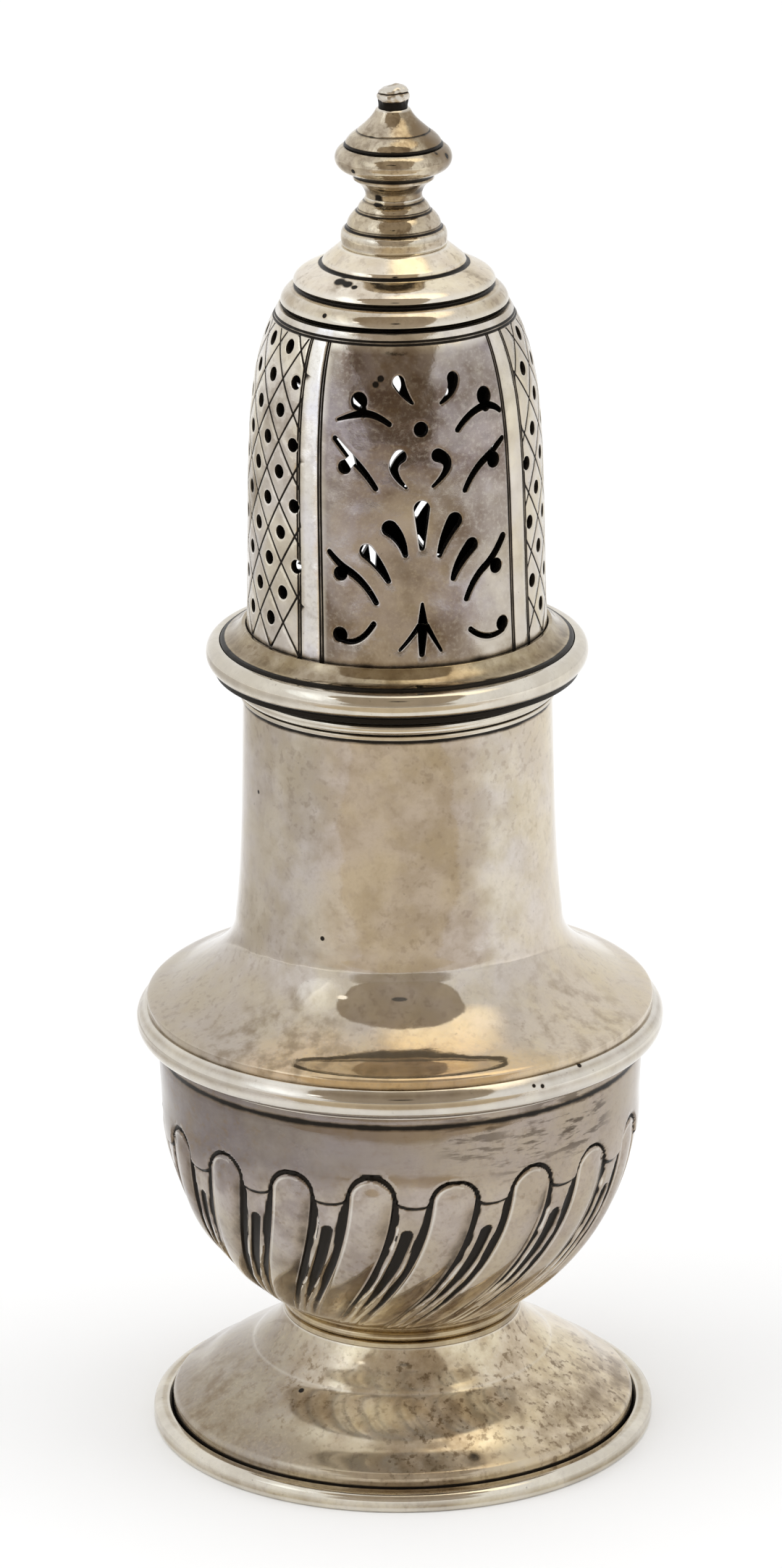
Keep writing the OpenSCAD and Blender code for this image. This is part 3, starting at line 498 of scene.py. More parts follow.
# Girdle. A heavy moulded silver wire bent to a ring, its nose polished by hands.
# It is soldered over the joint of bowl and shoulder, and hides it.
girdle_r, _, shoulder_z = np.subtract(extent("girdle_wire"), [0.03, 0, 0])
shoulder_r, _, rim_z = extent("shoulder_neck")
girdle_h, toe = shoulder_z - girdle_z, bowl_top_r + 0.23
nose_z = girdle_z + girdle_h * 0.64
girdle = turned("girdle_ring", profile(
    [bowl_top_r - bowl_wall, girdle_z], [toe, girdle_z],
    sweep([toe, girdle_z + girdle_h * 0.06], 15, 0.6, [girdle_r, nose_z], 95, 0.35),
    sweep([girdle_r, nose_z + girdle_h * 0.04], 95, 0.3, [shoulder_r + 0.16, shoulder_z], 140, 0.3),
    [bowl_top_r - bowl_wall, shoulder_z]))
finish_piece(girdle, silver(
    "girdle_silver", (0.53, 0.485, 0.415), (0.36, 0.31, 0.245), BROWN, 0.0, 0.09, freckles=0.35, ripple=1.5,
    blots=[(13.9, -24.3, 47.4, 0.3, 1.0), (14.8, -23.9, 47.2, 0.35, 1.0), (18.7, -20, 48, 0.4, 1.0)]),
    "body", "girdle_wire")

# Shoulder and neck. One raised sheet of silver: a hollow shoulder drawn up into a tall neck.
# It is soldered into the girdle, and stepped at the top for the lip wire.
lip_r, lip_z, _ = extent("lip_wire")
neck_z, neck_base_r, neck_r, neck_wall, lip_step = shoulder_z + 10.5, 17.4, 16.35, 0.95, 0.35
hollow_r, hollow_z, seat_z, shoulder_gap = 23.8, shoulder_z + 2.38, rim_z - 10.5, 0.05
edge_run = np.linspace(shoulder_r - shoulder_gap, hollow_r, 60)
edge_rise = climb(edge_run, [27.1, 26.95, 26.7, 26.3, 25.8, 25.2, 24.5, hollow_r],
                  [62, 40, 28, 21, 17, 18, 24, 30])
edge_z = hollow_z - edge_rise[-1]
shoulder_path = profile(
    [shoulder_r - shoulder_gap, shoulder_z], np.column_stack([edge_run, edge_z + edge_rise]),
    sweep([hollow_r, hollow_z], 150, 0.654, [neck_base_r, neck_z], 93, 0.22, 120)[1:],
    sweep([neck_base_r, neck_z], 97, 0.3, [neck_r, lip_z], 92, 0.3, 80)[1:])
mouth_r = neck_r - neck_wall
inner = shell(shoulder_path, neck_wall)[len(shoulder_path):]
shoulder = turned("shoulder_and_neck", profile(
    shoulder_path, [neck_r - lip_step, lip_z], [neck_r - lip_step, rim_z], [mouth_r, rim_z],
    [mouth_r, seat_z], inner[inner[:, 1] < seat_z]), step=0.6, ink=0.15,
    grime_and_light=lambda r, z: (smooth(z, lip_z - 0.25, lip_z) * smooth(lip_z + 0.4 - z, 0, 0.3) * (r > mouth_r + 0.2)
                        + 0.28 * smooth(shoulder_z + 0.32 - z, 0, 0.25)))
finish_piece(shoulder, silver(
    "neck_silver", (0.62, 0.58, 0.525), (0.48, 0.43, 0.355), (0.40, 0.325, 0.225), -0.02, 0.06,
    # Browner on the shoulder, tarnish; golden on the right, a painted warm reflection; darker on the left,
    # painted shade; golden on the front of the shoulder, tarnish and a painted warm reflection
    zones=[(2, 60, 50, (0.48, 0.42, 0.33), 0.65), (0, 9, 20, (0.68, 0.59, 0.44), 0.6),
           (0, -8, -20, (0.40, 0.355, 0.295), 0.5), (1, -18, -25, (0.66, 0.48, 0.26), 0.6)],
    veil=0.14, freckles=0.3, ripple=2,
    blots=[(-8.1, -15.2, 60.6, 0.3, 1.0), (-14.7, -7.6, 74.3, 0.25, 0.9)],
    specks=[(-14, -21.5, 50.5, 12, 0.65), (20, -15, 51, 12, 0.5), (0, -25, 50, 9, 0.3)]),
    "body", "shoulder_neck")

# Lip wire. Thin silver wire drawn to a fillet and a bead.
# It is soldered in the step round the mouth, and the cover rests on it.
lip_h, lip_in, lip_proud = rim_z - lip_z, neck_r - lip_step + 0.05, lip_r - neck_r
bead = lip_h * 0.27
lip = turned("lip_ring", profile(
    [lip_in, lip_z], [neck_r + lip_proud * 0.4, lip_z], [neck_r + lip_proud * 0.4, lip_z + lip_h * 0.14],
    [neck_r + lip_proud * 0.2, lip_z + lip_h * 0.2],
    arc([lip_r - bead, lip_z + lip_h * 0.49], bead, bead, -70, 70),
    [neck_r + lip_proud * 0.3, lip_z + lip_h * 0.8], [neck_r + lip_proud * 0.3, rim_z], [lip_in, rim_z]),
    # Black on its upper outside, under the flange: painted shadow
    corner=0.07, grime_and_light=lambda r, z: (smooth(z, lip_z + lip_h * 0.6, lip_z + lip_h * 0.75)
                                     * smooth(rim_z - z, 0.02, 0.1)))
finish_piece(lip, wire_metal, "body", "lip_wire")

# Cover bezel. A plain sleeve of thin silver sheet, grey from rubbing.
# It is soldered under the flange, slides into the neck and holds the cover there.
bezel_r, bezel_z, _ = extent("cover_bezel")
bezel_wall = 0.6
bezel = turned("bezel_sleeve", profile(
    [bezel_r - bezel_wall, bezel_z], [bezel_r, bezel_z],
    [bezel_r, rim_z], [bezel_r - bezel_wall, rim_z]), step=1)
dark_metal = silver(
    "dark_silver", (0.46, 0.40, 0.32), (0.30, 0.25, 0.18), BROWN, 0.05, 0.25, freckles=0.6, ripple=4)
finish_piece(bezel, dark_metal, "cover", "cover_bezel")

# Cover flange. A cast and turned silver ring that rests on the mouth.
# It has a lip for the bead wire, and a collar into which the drum is soldered.
flange_lip_r, _, collar_z = extent("cover_flange")
wire_r, flange_wire_z, flange_wire_top = extent("flange_wire")
drum_r, drum_z, drum_top = extent("pierced_drum")
flange_body_r, collar_r = flange_lip_r - 0.6, drum_r + 0.1
flange = turned("flange_ring", profile(
    [bezel_r - bezel_wall, rim_z], [flange_lip_r, rim_z], [flange_lip_r, flange_wire_z],
    [flange_body_r, flange_wire_z], [flange_body_r, flange_wire_top],
    sweep([flange_body_r - 0.2, flange_wire_top + 0.2], 168, 0.4, [collar_r + 0.4, collar_z], 130, 0.35),
    [collar_r, collar_z], [collar_r, drum_z], [bezel_r - bezel_wall, drum_z]),
    # Darker at the top of the collar and at the seat of the bead; black on the underside, painted shadow and
    # soiling
    ink=0.4, grime_and_light=lambda r, z: (
        0.4 * smooth(z, collar_z - 0.3, collar_z) + smooth(flange_wire_z + 0.3 - z, 0, 0.3)
        + 0.8 * smooth(r, flange_body_r - 0.5, flange_body_r - 0.25)))
finish_piece(flange, silver(
    "flange_silver", (0.50, 0.44, 0.33), (0.30, 0.24, 0.15), BROWN, 0.05, 0.1, freckles=0.8, ripple=2.5,
    specks=[(0, 0, collar_z, 26, 0.6)]),
    "cover", "cover_flange")

# Flange wire. A stout half-round bead of drawn silver wire, bright from handling.
# It is soldered round the flange, on its lip.
wire_w, half_h = 1.45, (flange_wire_top - flange_wire_z) / 2
flange_wire = turned("flange_bead", profile(
    [wire_r - wire_w, flange_wire_z],
    arc([wire_r - wire_w * 0.75, flange_wire_z + half_h], wire_w * 0.75, half_h, -90, 90),
    [wire_r - wire_w, flange_wire_top]),
    # Darker over its lower half: painted shade
    grime_and_light=lambda r, z: smooth(flange_wire_z + half_h * 0.5 - z, 0, half_h * 0.4))
finish_piece(flange_wire, wire_metal, "cover", "flange_wire")

# Pierced drum. Rolled silver sheet, sawn through by hand: two panels of foliage and two of holes in an
# engraved lattice, parted by plain straps between engraved double lines. The cuts have a filed edge with a
# painted highlight beside it, and the inside is painted black as shade. It is soldered into the collar of the
# flange.
drum_top_r, drum_wall, field_low, panel_turn = 12.1, 0.8, drum_z + 1.6, 10.3
field_h = drum_top - 1.4 - field_low
wall_path = profile(
    [drum_r, drum_z], sweep([drum_r, field_low], 92, 0.5, [drum_top_r, drum_top], 121, 0.23, 200))
degree = np.pi / 180 * drum_r
saw, ball, eye, petal, hole = 0.83, 0.8, 0.79, 0.86, 0.72
wide, blunt, fine_end, head = saw * 0.48, saw * 0.32, saw * 0.16, ball * 0.88


def strokes(rows):
    """Centre lines and half widths of strokes.

    Each row is a quadratic curve through three points, in degrees and shares of the height, and the half
    widths at its start and end.
    """
    rows = np.array(rows, float)
    a, b, c = [rows[:, k:k + 2] for k in (0, 2, 4)]
    t = np.linspace(0, 1, 17)[None, :, None]
    line = (1 - t) ** 2 * a[:, None] + 2 * (1 - t) * t * (2 * b - (a + c) / 2)[:, None] + t ** 2 * c[:, None]
    return line * [degree, field_h] + [0, field_low], rows[:, 6:7] + (rows[:, 7:8] - rows[:, 6:7]) * t[..., 0]


def discs(rows):
    """Round holes as strokes that stay at one point."""
    return [[x, y, x, y, x, y, r, r] for x, y, r in rows]


# One panel of foliage: drops, forked scrolls, a fan of petals, a sprig and round holes
foliage = [
    [-8.9, 0.903, -6.4, 0.868, -3.3, 0.839, head, fine_end],
    [14.7, 0.904, 13, 0.866, 8.4, 0.834, head, fine_end],
    [-8.7, 0.674, -11, 0.631, -6.4, 0.574, head, fine_end], [6.3, 0.672, 10, 0.634, 4, 0.574, head, fine_end],
    [-23.5, 0.8075, -28.7, 0.797, -33.9, 0.782, wide, fine_end],
    [-23.5, 0.8075, -18.2, 0.8, -12.8, 0.7755, wide, blunt],
    [-23.2, 0.806, -23.9, 0.8185, -24.6, 0.832, wide, ball * 0.7],
    [28.3, 0.8055, 32.6, 0.7985, 36.3, 0.779, wide, blunt],
    [28.3, 0.8055, 20.8, 0.7855, 14.9, 0.745, wide, blunt],
    [29, 0.803, 28.9, 0.815, 28.8, 0.828, ball * 0.7, ball * 0.85],
    [-26.7, 0.655, -30.8, 0.6895, -34.9, 0.7225, wide, blunt],
    [-26.7, 0.655, -22.2, 0.617, -18.2, 0.571, wide, blunt],
    [-30.6, 0.634, -29.2, 0.646, -27.8, 0.658, ball * 0.8, ball * 0.6],
    [27.9, 0.6433, 32.2, 0.667, 36.3, 0.69, wide, blunt],
    [27.9, 0.6433, 21.9, 0.6065, 17.2, 0.55, wide, blunt],
    [-29.3, 0.301, -33, 0.324, -36.8, 0.355, wide, blunt],
    [-29.3, 0.301, -23.2, 0.2615, -18.2, 0.2, wide, blunt],
    [25.5, 0.29, 30.4, 0.326, 34.9, 0.374, wide, wide], [25.5, 0.29, 20.8, 0.2525, 17.1, 0.196, wide, blunt],
    [-31.7, 0.072, -25.2, 0.0755, -19.2, 0.13, blunt, blunt],
    [34.2, 0.069, 26, 0.061, 18.7, 0.094, blunt, blunt],
    [-0.5, 0.377, -0.45, 0.44, -0.4, 0.504, blunt, petal],
    [-6.9, 0.356, -9.1, 0.407, -12.8, 0.443, blunt, petal],
    [6.3, 0.35, 8.8, 0.405, 12.6, 0.457, blunt, petal],
    [-13.5, 0.272, -17.2, 0.3225, -21.8, 0.366, blunt, petal * 0.88],
    [11.7, 0.269, 14.6, 0.319, 19.7, 0.37, blunt, petal * 0.88],
    [-0.5, 0.12, -0.55, 0.16, -0.6, 0.195, ball * 0.68, fine_end],
    [-0.5, 0.125, -0.8, 0.075, -1, 0.03, ball * 0.68, blunt],
    [-2, 0.122, -5.2, 0.086, -9.3, 0.046, blunt, fine_end],
    [1, 0.122, 3.7, 0.08, 6.5, 0.038, blunt, fine_end],
    *discs([[-0.2, 0.757, eye], [-25.3, 0.8435, ball * 1.18], [28.7, 0.836, ball * 1.2],
            [-30.6, 0.634, ball * 0.9], [31, 0.629, ball * 1.05], [-32.2, 0.288, ball * 0.94],
            [31.1, 0.284, ball], [-32.4, 0.088, ball], [33.9, 0.09, ball]])]
# One panel of holes in leaning rows, each row half a pitch aside from the next
lattice_rows, pitch, row_turn, row_share = 10, 16.4, -6 / 9, 0.88 / 9
row, column = [k.ravel() for k in np.meshgrid(np.arange(lattice_rows), np.arange(-5, 6))]
offset = pitch * (column + 0.2 + (row % 2) / 2) + 6 * (0.5 - row / (lattice_rows - 1))
share = 0.088 + row_share * row
kept = np.abs(offset) < 39
dots = strokes(discs(np.column_stack([offset, share, 0 * share + hole])[kept]))
dots[0][..., 0] += 90 * degree
leaves = strokes(foliage)
lines, widths = np.concatenate([leaves[0], dots[0]]), np.concatenate([leaves[1], dots[1]])


def outlines(grow):
    """Closed outlines of all strokes, widened by grow, with round ends."""
    ahead = np.gradient(lines, axis=1)
    ahead[np.hypot(ahead[..., 0], ahead[..., 1]) < 1e-9] = [0, 1]
    ahead /= np.hypot(ahead[..., 0], ahead[..., 1])[..., None]
    side = np.stack([-ahead[..., 1], ahead[..., 0]], -1)
    w = (widths + grow)[..., None]
    turn = np.radians(np.linspace(0, 180, 13)[1:-1])[None, :, None]
    cap = lambda k, s: lines[:, k, None] + w[:, k, None] * s * (
        np.cos(turn) * side[:, k, None] + np.sin(turn) * ahead[:, k, None])
    return np.concatenate([lines + side * w, cap(-1, 1), (lines - side * w)[:, ::-1], cap(0, -1)], 1)


def even(points, step):
    """Points a step apart along each path."""
    made = []
    for path in points:
        run = lengths_along(path)
        at = np.linspace(0, run[-1], max(2, int(np.ceil(run[-1] / step)) + 1))
        made.append(np.column_stack([np.interp(at, run, path[:, k]) for k in (0, 1)]))
    return made


def distance(points, starts, ends, radius_a=0.0, radius_b=0.0):
    """Distance from points to the nearest of many tapered segments, less their half widths."""
    best = np.full(len(points), 1e9)
    span = ends - starts
    square = np.maximum(np.sum(span ** 2, 1), 1e-12)
    for part in np.array_split(np.arange(len(points)), max(1, len(points) // 1500)):
        gap = points[part, None] - starts[None]
        t = np.clip(np.sum(gap * span, 2) / square, 0, 1)
        away = np.hypot(*np.moveaxis(gap - t[..., None] * span, 2, 0))
        best[part] = (away - (radius_a + t * (radius_b - radius_a))).min(1)
    return best


# Engraved lines: a lattice midway between the holes, double lines along the straps, two rings at the top
left, right = -45 * degree, 135 * degree
row_z, hole_z = field_h * row_share, field_low + field_h * 0.088
first = np.array([(90 + pitch * 0.2 + 3) * degree, hole_z])
rising = np.array([(pitch / 2 + row_turn) * degree, row_z])
falling = np.array([(row_turn - pitch / 2) * degree, row_z])
middle_z, lattice_low, lattice_half, lattice_lean = 107, drum_z + 1.4, 40, 0.07
engraved = []
for along, aside in ((rising, falling), (falling, rising)):
    for k in np.arange(-16, 17):
        t = np.linspace(-30, 30, 2401)[:, None]
        path = first + (k + 0.5) * aside + t * along
        off = np.abs(path[:, 0] / degree - 90 + (path[:, 1] - middle_z) * lattice_lean)
        inside = (off < lattice_half) & (path[:, 1] > lattice_low) & (path[:, 1] < drum_top - 1.2)
        if inside.sum() > 3:
            engraved.append(path[inside][[0, -1]])
for middle_turn in (-45, 45, 135):
    for gap in (-5.6, -4.5, 4.5, 5.6):
        x = np.array([middle_turn + gap, middle_turn + gap - 2.2]) * degree
        if left < x.min() and x.max() < right:
            engraved.append(np.column_stack([x, [lattice_low, drum_top - 1.1]]))
top_rings = [np.array([[left, drum_top - below], [right, drum_top - below]]) for below in (1.02, 0.72)]
line_w, line_depth = 0.17, 0.12
cuts = np.array(engraved + top_rings)
across = np.diff(cuts, axis=1)[:, 0]
across = np.column_stack([-across[:, 1], across[:, 0]]) / np.hypot(*across.T)[:, None] * line_w
cut_paths = even(np.concatenate([cuts + s * across[:, None] for s in (-1, 0, 1)]), 0.7)
# Half of the drum as a flat sheet of triangles that follow the lines, the holes and their filed edges
lip_w, bevel = 0.06, 0.24
loops = [np.vstack([loop, loop[:1]]) for grow in (0, lip_w, bevel) for loop in outlines(grow)]
loops = even(loops, 0.16)
frame_x, frame_z = np.linspace(left, right, 90), np.linspace(drum_z, drum_top, 61)
borders = [np.column_stack([frame_x, 0 * frame_x + z]) for z in (drum_z, drum_top)]
sides = [np.column_stack([0 * frame_z + x, frame_z]) for x in (left, right)]
sawn = [lines[:, :-1].reshape(-1, 2), lines[:, 1:].reshape(-1, 2),
        widths[:, :-1].ravel(), widths[:, 1:].ravel()]
grid_x, grid_z = np.meshgrid(np.linspace(left, right, 74)[1:-1], np.linspace(drum_z, drum_top, 54)[1:-1])
ground = np.column_stack([grid_x.ravel(), grid_z.ravel()])
clear = distance(ground, *sawn) > 0.45
clear &= distance(ground, cuts[:, 0], cuts[:, 1]) > 0.4
paths = cut_paths + loops + borders + sides
sizes = np.array([len(p) for p in paths])
starts = np.cumsum(sizes) - sizes
links = np.concatenate([np.column_stack([np.arange(n - 1), np.arange(1, n)]) + s
                        for n, s in zip(sizes, starts)])
flat = np.concatenate(paths + [ground[clear]])
solved = delaunay_2d_cdt([Vector(p) for p in flat.tolist()], links.tolist(), [], 0, 1e-5, False)
flat = np.array([tuple(v) for v in solved[0]])
tris = np.array(solved[2])
centre = flat[tris].mean(1)
tris = tris[distance(centre, *sawn) > 0]
used = np.unique(tris)
flat, tris = flat[used], np.searchsorted(used, tris)
gap = distance(flat, *sawn)
cut = np.clip(1 - distance(flat, cuts[:, 0], cuts[:, 1]) / line_w, 0, 1)
filed = np.interp(gap, [0, lip_w, bevel], [1, 0.4, 0])
count = len(flat)
# Two such halves, welded at their sides, bent round the axis and closed by an inside and the walls of holes
edge_l, edge_r = [np.flatnonzero(np.abs(flat[:, 0] - x) < 1e-4) for x in (left, right)]
edge_l, edge_r = edge_l[np.argsort(flat[edge_l, 1])], edge_r[np.argsort(flat[edge_r, 1])]
weld = np.arange(2 * count)
weld[count + edge_l], weld[count + edge_r] = edge_r, edge_l
tris = weld[np.concatenate([tris, tris + count])]
flat, cut, filed = [np.concatenate([v, v]) for v in (flat, cut, filed)]
angle = np.radians(panel_turn) + flat[:, 0] / drum_r + np.repeat([0, np.pi], count)
wall_r = np.interp(flat[:, 1], wall_path[:, 1], wall_path[:, 0])
outside = wall_r - cut * line_depth - filed * 0.1
sheet = lambda r: np.column_stack([r * np.sin(angle), -r * np.cos(angle), flat[:, 1]])
directed = np.concatenate([tris[:, [0, 1]], tris[:, [1, 2]], tris[:, [2, 0]]])
_, back, times = np.unique(np.sort(directed, 1), axis=0, return_inverse=True, return_counts=True)
rim = directed[times[back.ravel()] == 1]
faces = np.concatenate([tris, tris[:, ::-1] + 2 * count,
                        np.column_stack([rim[:, 1], rim[:, 0], rim[:, 0] + 2 * count]),
                        np.column_stack([rim[:, 1], rim[:, 0] + 2 * count, rim[:, 1] + 2 * count])])
used = np.unique(faces)
points = np.concatenate([sheet(outside), sheet(wall_r - drum_wall)])[used]
# Painted highlights beside the filed edges and painted shade at the cuts, darker just above the collar,
# tarnish on the panels, a painted highlight on the straps of one side, and the inside painted black as shade
edge_light = np.interp(filed, [0, 0.4, 1], [0, 0.5, -1])
collar_dark = 0.3 * smooth(collar_z + 0.55 - flat[:, 1], 0, 0.4)
values = np.concatenate([edge_light - cut - collar_dark, np.full(2 * count, -1.0)])[used]
panel_half, panel_lean, strap_half = 39.6, 0.06, 4.4
off = flat[:, 0] / degree + (flat[:, 1] - middle_z) * panel_lean
inside = smooth(panel_half - np.abs(off), -0.8, 0.8)
strap = smooth(strap_half - np.abs((off + 90) % 90 - 45), 0, 0.5)
strap_highlight = 0.9 * strap * smooth(-np.sin(angle), 0, 0.3)
panel_tone = inside * (0.72 + 0.5 * smooth(flat[:, 1], 104, 118)) * smooth(drum_top - 1.1 - flat[:, 1], 0, 0.3)
panel_tone = np.tile(panel_tone - strap_highlight, 2)[used]
drum = piece("drum_pierced", points, np.searchsorted(used, faces).tolist(), values)
drum.data.attributes.new("panel", "FLOAT", "POINT").data.foreach_set("value", panel_tone.astype(np.float32))
finish_piece(drum, silver(
    "drum_silver", (0.76, 0.73, 0.66), (0.58, 0.54, 0.47), BROWN, 0.02, 0.15,
    # Darker on the right side: painted shade
    zones=[(0, 8, 13, (0.48, 0.43, 0.34), 0.65)], ripple=13,
    blots=[(-1.5, -13.9, 121.2, 0.5, 0.35), (-2, -13.9, 120.6, 0.5, 0.3)],
    specks=[(0, -14, 121.5, 6, 0.7), (-9, -11, drum_z, 4, 0.9), (9, -11, drum_z, 4, 0.7)],
    panel=((0.32, 0.285, 0.285), (0.16, 0.12, 0.095))),
    "cover", "pierced_drum")

# Cap wire. A rounded ring of drawn silver wire between two grooves.
# It is soldered over the joint of drum and cap.
cap_wire_r, cap_wire_z, cap_z = extent("cap_wire")
cap_r, _, finial_z = extent("cap_dome")
cap_wire_h, cap_in = cap_z - cap_wire_z, drum_top_r - 2.2
cap_wire = turned("cap_ring", profile(
    [cap_in, cap_wire_z], [cap_wire_r - 0.5, cap_wire_z], [cap_wire_r - 0.42, cap_wire_z + cap_wire_h * 0.1],
    sweep([cap_wire_r, cap_wire_z + cap_wire_h * 0.24], 95, 0.3,
          [cap_r + 0.32, cap_wire_z + cap_wire_h * 0.82], 150, 0.3),
    [cap_r - 0.35, cap_z - 0.2], [cap_r - 0.35, cap_z], [cap_in, cap_z]), corner=0.07, columns=192,
    ink=0.6, grime_and_light=lambda r, z: (smooth(z, cap_z - 0.24, cap_z - 0.12)
                                 + smooth(cap_wire_z + 0.15 - z, 0, 0.12)))
finish_piece(cap_wire, silver(
    "cap_ring_silver", (0.66, 0.60, 0.48), (0.46, 0.385, 0.27), BROWN, 0.0, 0.09, freckles=0.5, ripple=1.5,
    blots=[(-7.2, -9.1, 126.6, 0.35, 1.0)]), "cover", "cap_wire")

# Cap. A small dome raised from silver sheet: a rounded ring, a groove, and a sloped top.
# It is soldered to its wire and carries the finial.
base_r, _, knop_z = extent("finial_base")
cap_h, cap_wall, pin_bore = finial_z - cap_z, 0.9, 1.15
crown_r = base_r + 0.135
groove_r, groove_z = crown_r + (cap_r - crown_r) * 0.42, cap_z + cap_h * 0.57
cap = turned("cap_dome_top", profile(
    [cap_r - cap_wall, cap_z], [cap_r - 0.35, cap_z], [cap_r - 0.3, cap_z + cap_h * 0.04],
    sweep([cap_r - 0.054, cap_z + cap_h * 0.09], 105, 0.3,
          [groove_r + 0.4, groove_z - cap_h * 0.07], 152, 0.35),
    [groove_r - 0.12, groove_z - 0.2], [groove_r - 0.36, groove_z + cap_h * 0.08], [crown_r, finial_z],
    [pin_bore, finial_z], [pin_bore, finial_z - cap_wall], [crown_r - cap_wall * 0.7, finial_z - cap_wall],
    [groove_r - 0.45, groove_z - cap_wall * 0.75], [cap_r - cap_wall, cap_z + cap_h * 0.08]),
    columns=192, ink=0.55, grime_and_light=lambda r, z: smooth(cap_z + 0.2 - z, 0, 0.15))
finish_piece(cap, silver(
    "cap_silver", (0.84, 0.78, 0.65), (0.68, 0.60, 0.47), BROWN, 0.03, 0.09, freckles=0.45, ripple=2.5,
    blots=[(-4.8, -7.3, 129.4, 0.8, 0.35), (-5.6, -6.5, 129.6, 0.9, 0.35), (-4.1, -8, 129.2, 0.5, 0.35)],
    specks=[(-5, -7, 129.4, 2.5, 0.7)]),
    "cover", "cap_dome")

# Finial base. Cast silver, turned in three rounded steps, each narrower than the one below.
# It stands on the cap, and the pin goes through it.
waist_r, base_h = 2.95, knop_z - finial_z
step_at = lambda x, y: [waist_r + (base_r - waist_r) * x, finial_z + base_h * y]
base = turned("finial_steps", profile(
    [pin_bore, finial_z], step_at(0.95, 0), sweep(step_at(1, 0.05), 90, 0.3, step_at(0.9, 0.33), 150, 0.3),
    step_at(0.78, 0.37), step_at(0.78, 0.4),
    sweep(step_at(0.75, 0.42), 90, 0.3, step_at(0.45, 0.67), 135, 0.3),
    step_at(0.36, 0.7), step_at(0.34, 0.73),
    sweep(step_at(0.3, 0.75), 90, 0.3, step_at(0.06, 0.92), 130, 0.3),
    [waist_r, knop_z], [pin_bore, knop_z]), corner=0.05, columns=144, ink=0.5)
finial_metal = silver(
    "finial_silver", (0.62, 0.55, 0.42), (0.20, 0.15, 0.095), BROWN, 0.05, 0.08,
    zones=[(2, knop_z + 1, knop_z - 0.5, (0.62, 0.55, 0.42), 0.6)], freckles=1.0, ripple=12,
    blots=[(4.6, -3.4, 142.4, 0.6, 0.4), (5.4, -2.2, 141.6, 0.6, 0.4), (-4.2, -4.4, 140.6, 0.4, 0.6),
           (-1.9, -2.6, 143.6, 0.8, 0.3), (-1.6, -2.6, knop_z, 0.8, 0.35)],
    specks=[(5, -3.5, 141.8, 3, 0.6), (-5, -3.5, 141, 2.6, 0.4), (1, -3, 144, 3, 0.5),
            (0, 0, knop_z - 3, 5, 0.5)])
finish_piece(base, finial_metal, "cover", "finial_base")

# Finial knop. Cast silver, turned: a hollow neck, a fillet, a round bead, a cone and a pointed ogee.
# The pin holds it on its base. Each of its lines is a share of the height, a width and how dark it is.
knop_r, _, button_z = extent("finial_knop")
knop_h, button_r = button_z - knop_z, 1.76
at = lambda x, y: [waist_r + (knop_r - waist_r) * x, knop_z + knop_h * y]
knop_lines = ((0.0, 0.1, 0.4), (0.262, 0.11, 0.8), (0.598, 0.12, 0.9), (0.742, 0.05, 0.1))
knop = turned("finial_turned_knop", profile(
    [pin_bore, knop_z], sweep([waist_r, knop_z], 90, 0.45, at(0.41, 0.2), 35, 0.35), at(0.41, 0.248),
    arc(at(0.55, 0.437), (knop_r - waist_r) * 0.45, knop_h * 0.145, -85, 78), at(0.7, 0.592),
    sweep(at(0.66, 0.605), 110, 0.3, at(0.31, 0.73), 150, 0.3), at(0.25, 0.745),
    sweep(at(0.23, 0.755), 140, 0.4, [button_r * 1.02, knop_z + knop_h * 0.985], 115, 0.3),
    [button_r * 0.92, button_z], [pin_bore, button_z]), corner=0.05, columns=144, ink=0.35,
    grime_and_light=lambda r, z: sum(dark * np.exp(-((z - knop_z - knop_h * share) / width) ** 2)
                           for share, width, dark in knop_lines))
finish_piece(knop, finial_metal, "cover", "finial_knop")

# Finial pin. A silver rod that goes through finial and cap and is riveted inside.
# Its hammered head is the button on top.
rivet_r, rivet_low, pin_top = extent("finial_pin")
pin_r, rivet_z, button_h = 1.1, finial_z - cap_wall, pin_top - button_z
pin = turned("finial_pin_button", profile(
    [0, rivet_low], [rivet_r * 0.8, rivet_low], [rivet_r, rivet_low + 0.48],
    [rivet_r, rivet_z], [pin_r, rivet_z], [pin_r, button_z],
    [button_r * 0.86, button_z], [button_r * 0.86, button_z + button_h * 0.22],
    arc([button_r * 0.78, button_z + button_h * 0.48], button_r * 0.2, button_h * 0.2, -60, 50, 9),
    [button_r * 0.84, button_z + button_h * 0.68],
    sweep([button_r * 0.88, button_z + button_h * 0.74], 100, 0.25, [0, pin_top], 180, 0.5)),
    corner=0.05, columns=96, poles=True, grime_and_light=lambda r, z: smooth(button_z + button_h * 0.3 - z, 0, 0.2))
hammered = np.empty(len(pin.data.vertices) * 3)
pin.data.vertices.foreach_get("co", hammered)
hammered = hammered.reshape(-1, 3) / MM
around, up = np.arctan2(hammered[:, 0], -hammered[:, 1]), (hammered[:, 2] - button_z) / button_h
lumps = (0.05 * np.sin(3 * around + 1 + 4 * up) + 0.04 * np.sin(5 * around - 6 * up)
         + 0.02 * np.sin(11 * around + 9 * up))
hammered[:, :2] *= 1 + ((lumps - 0.02) * smooth(up, 0.05, 0.25))[:, None]
hammered[:, 2] -= button_h * smooth(up, 0.3, 1) * (0.08 - 0.07 * np.sin(around + 0.4) * np.clip(up, 0, 1))
pin.data.vertices.foreach_set("co", (hammered * MM).ravel())
finish_piece(pin, dark_metal, "cover", "finial_pin")

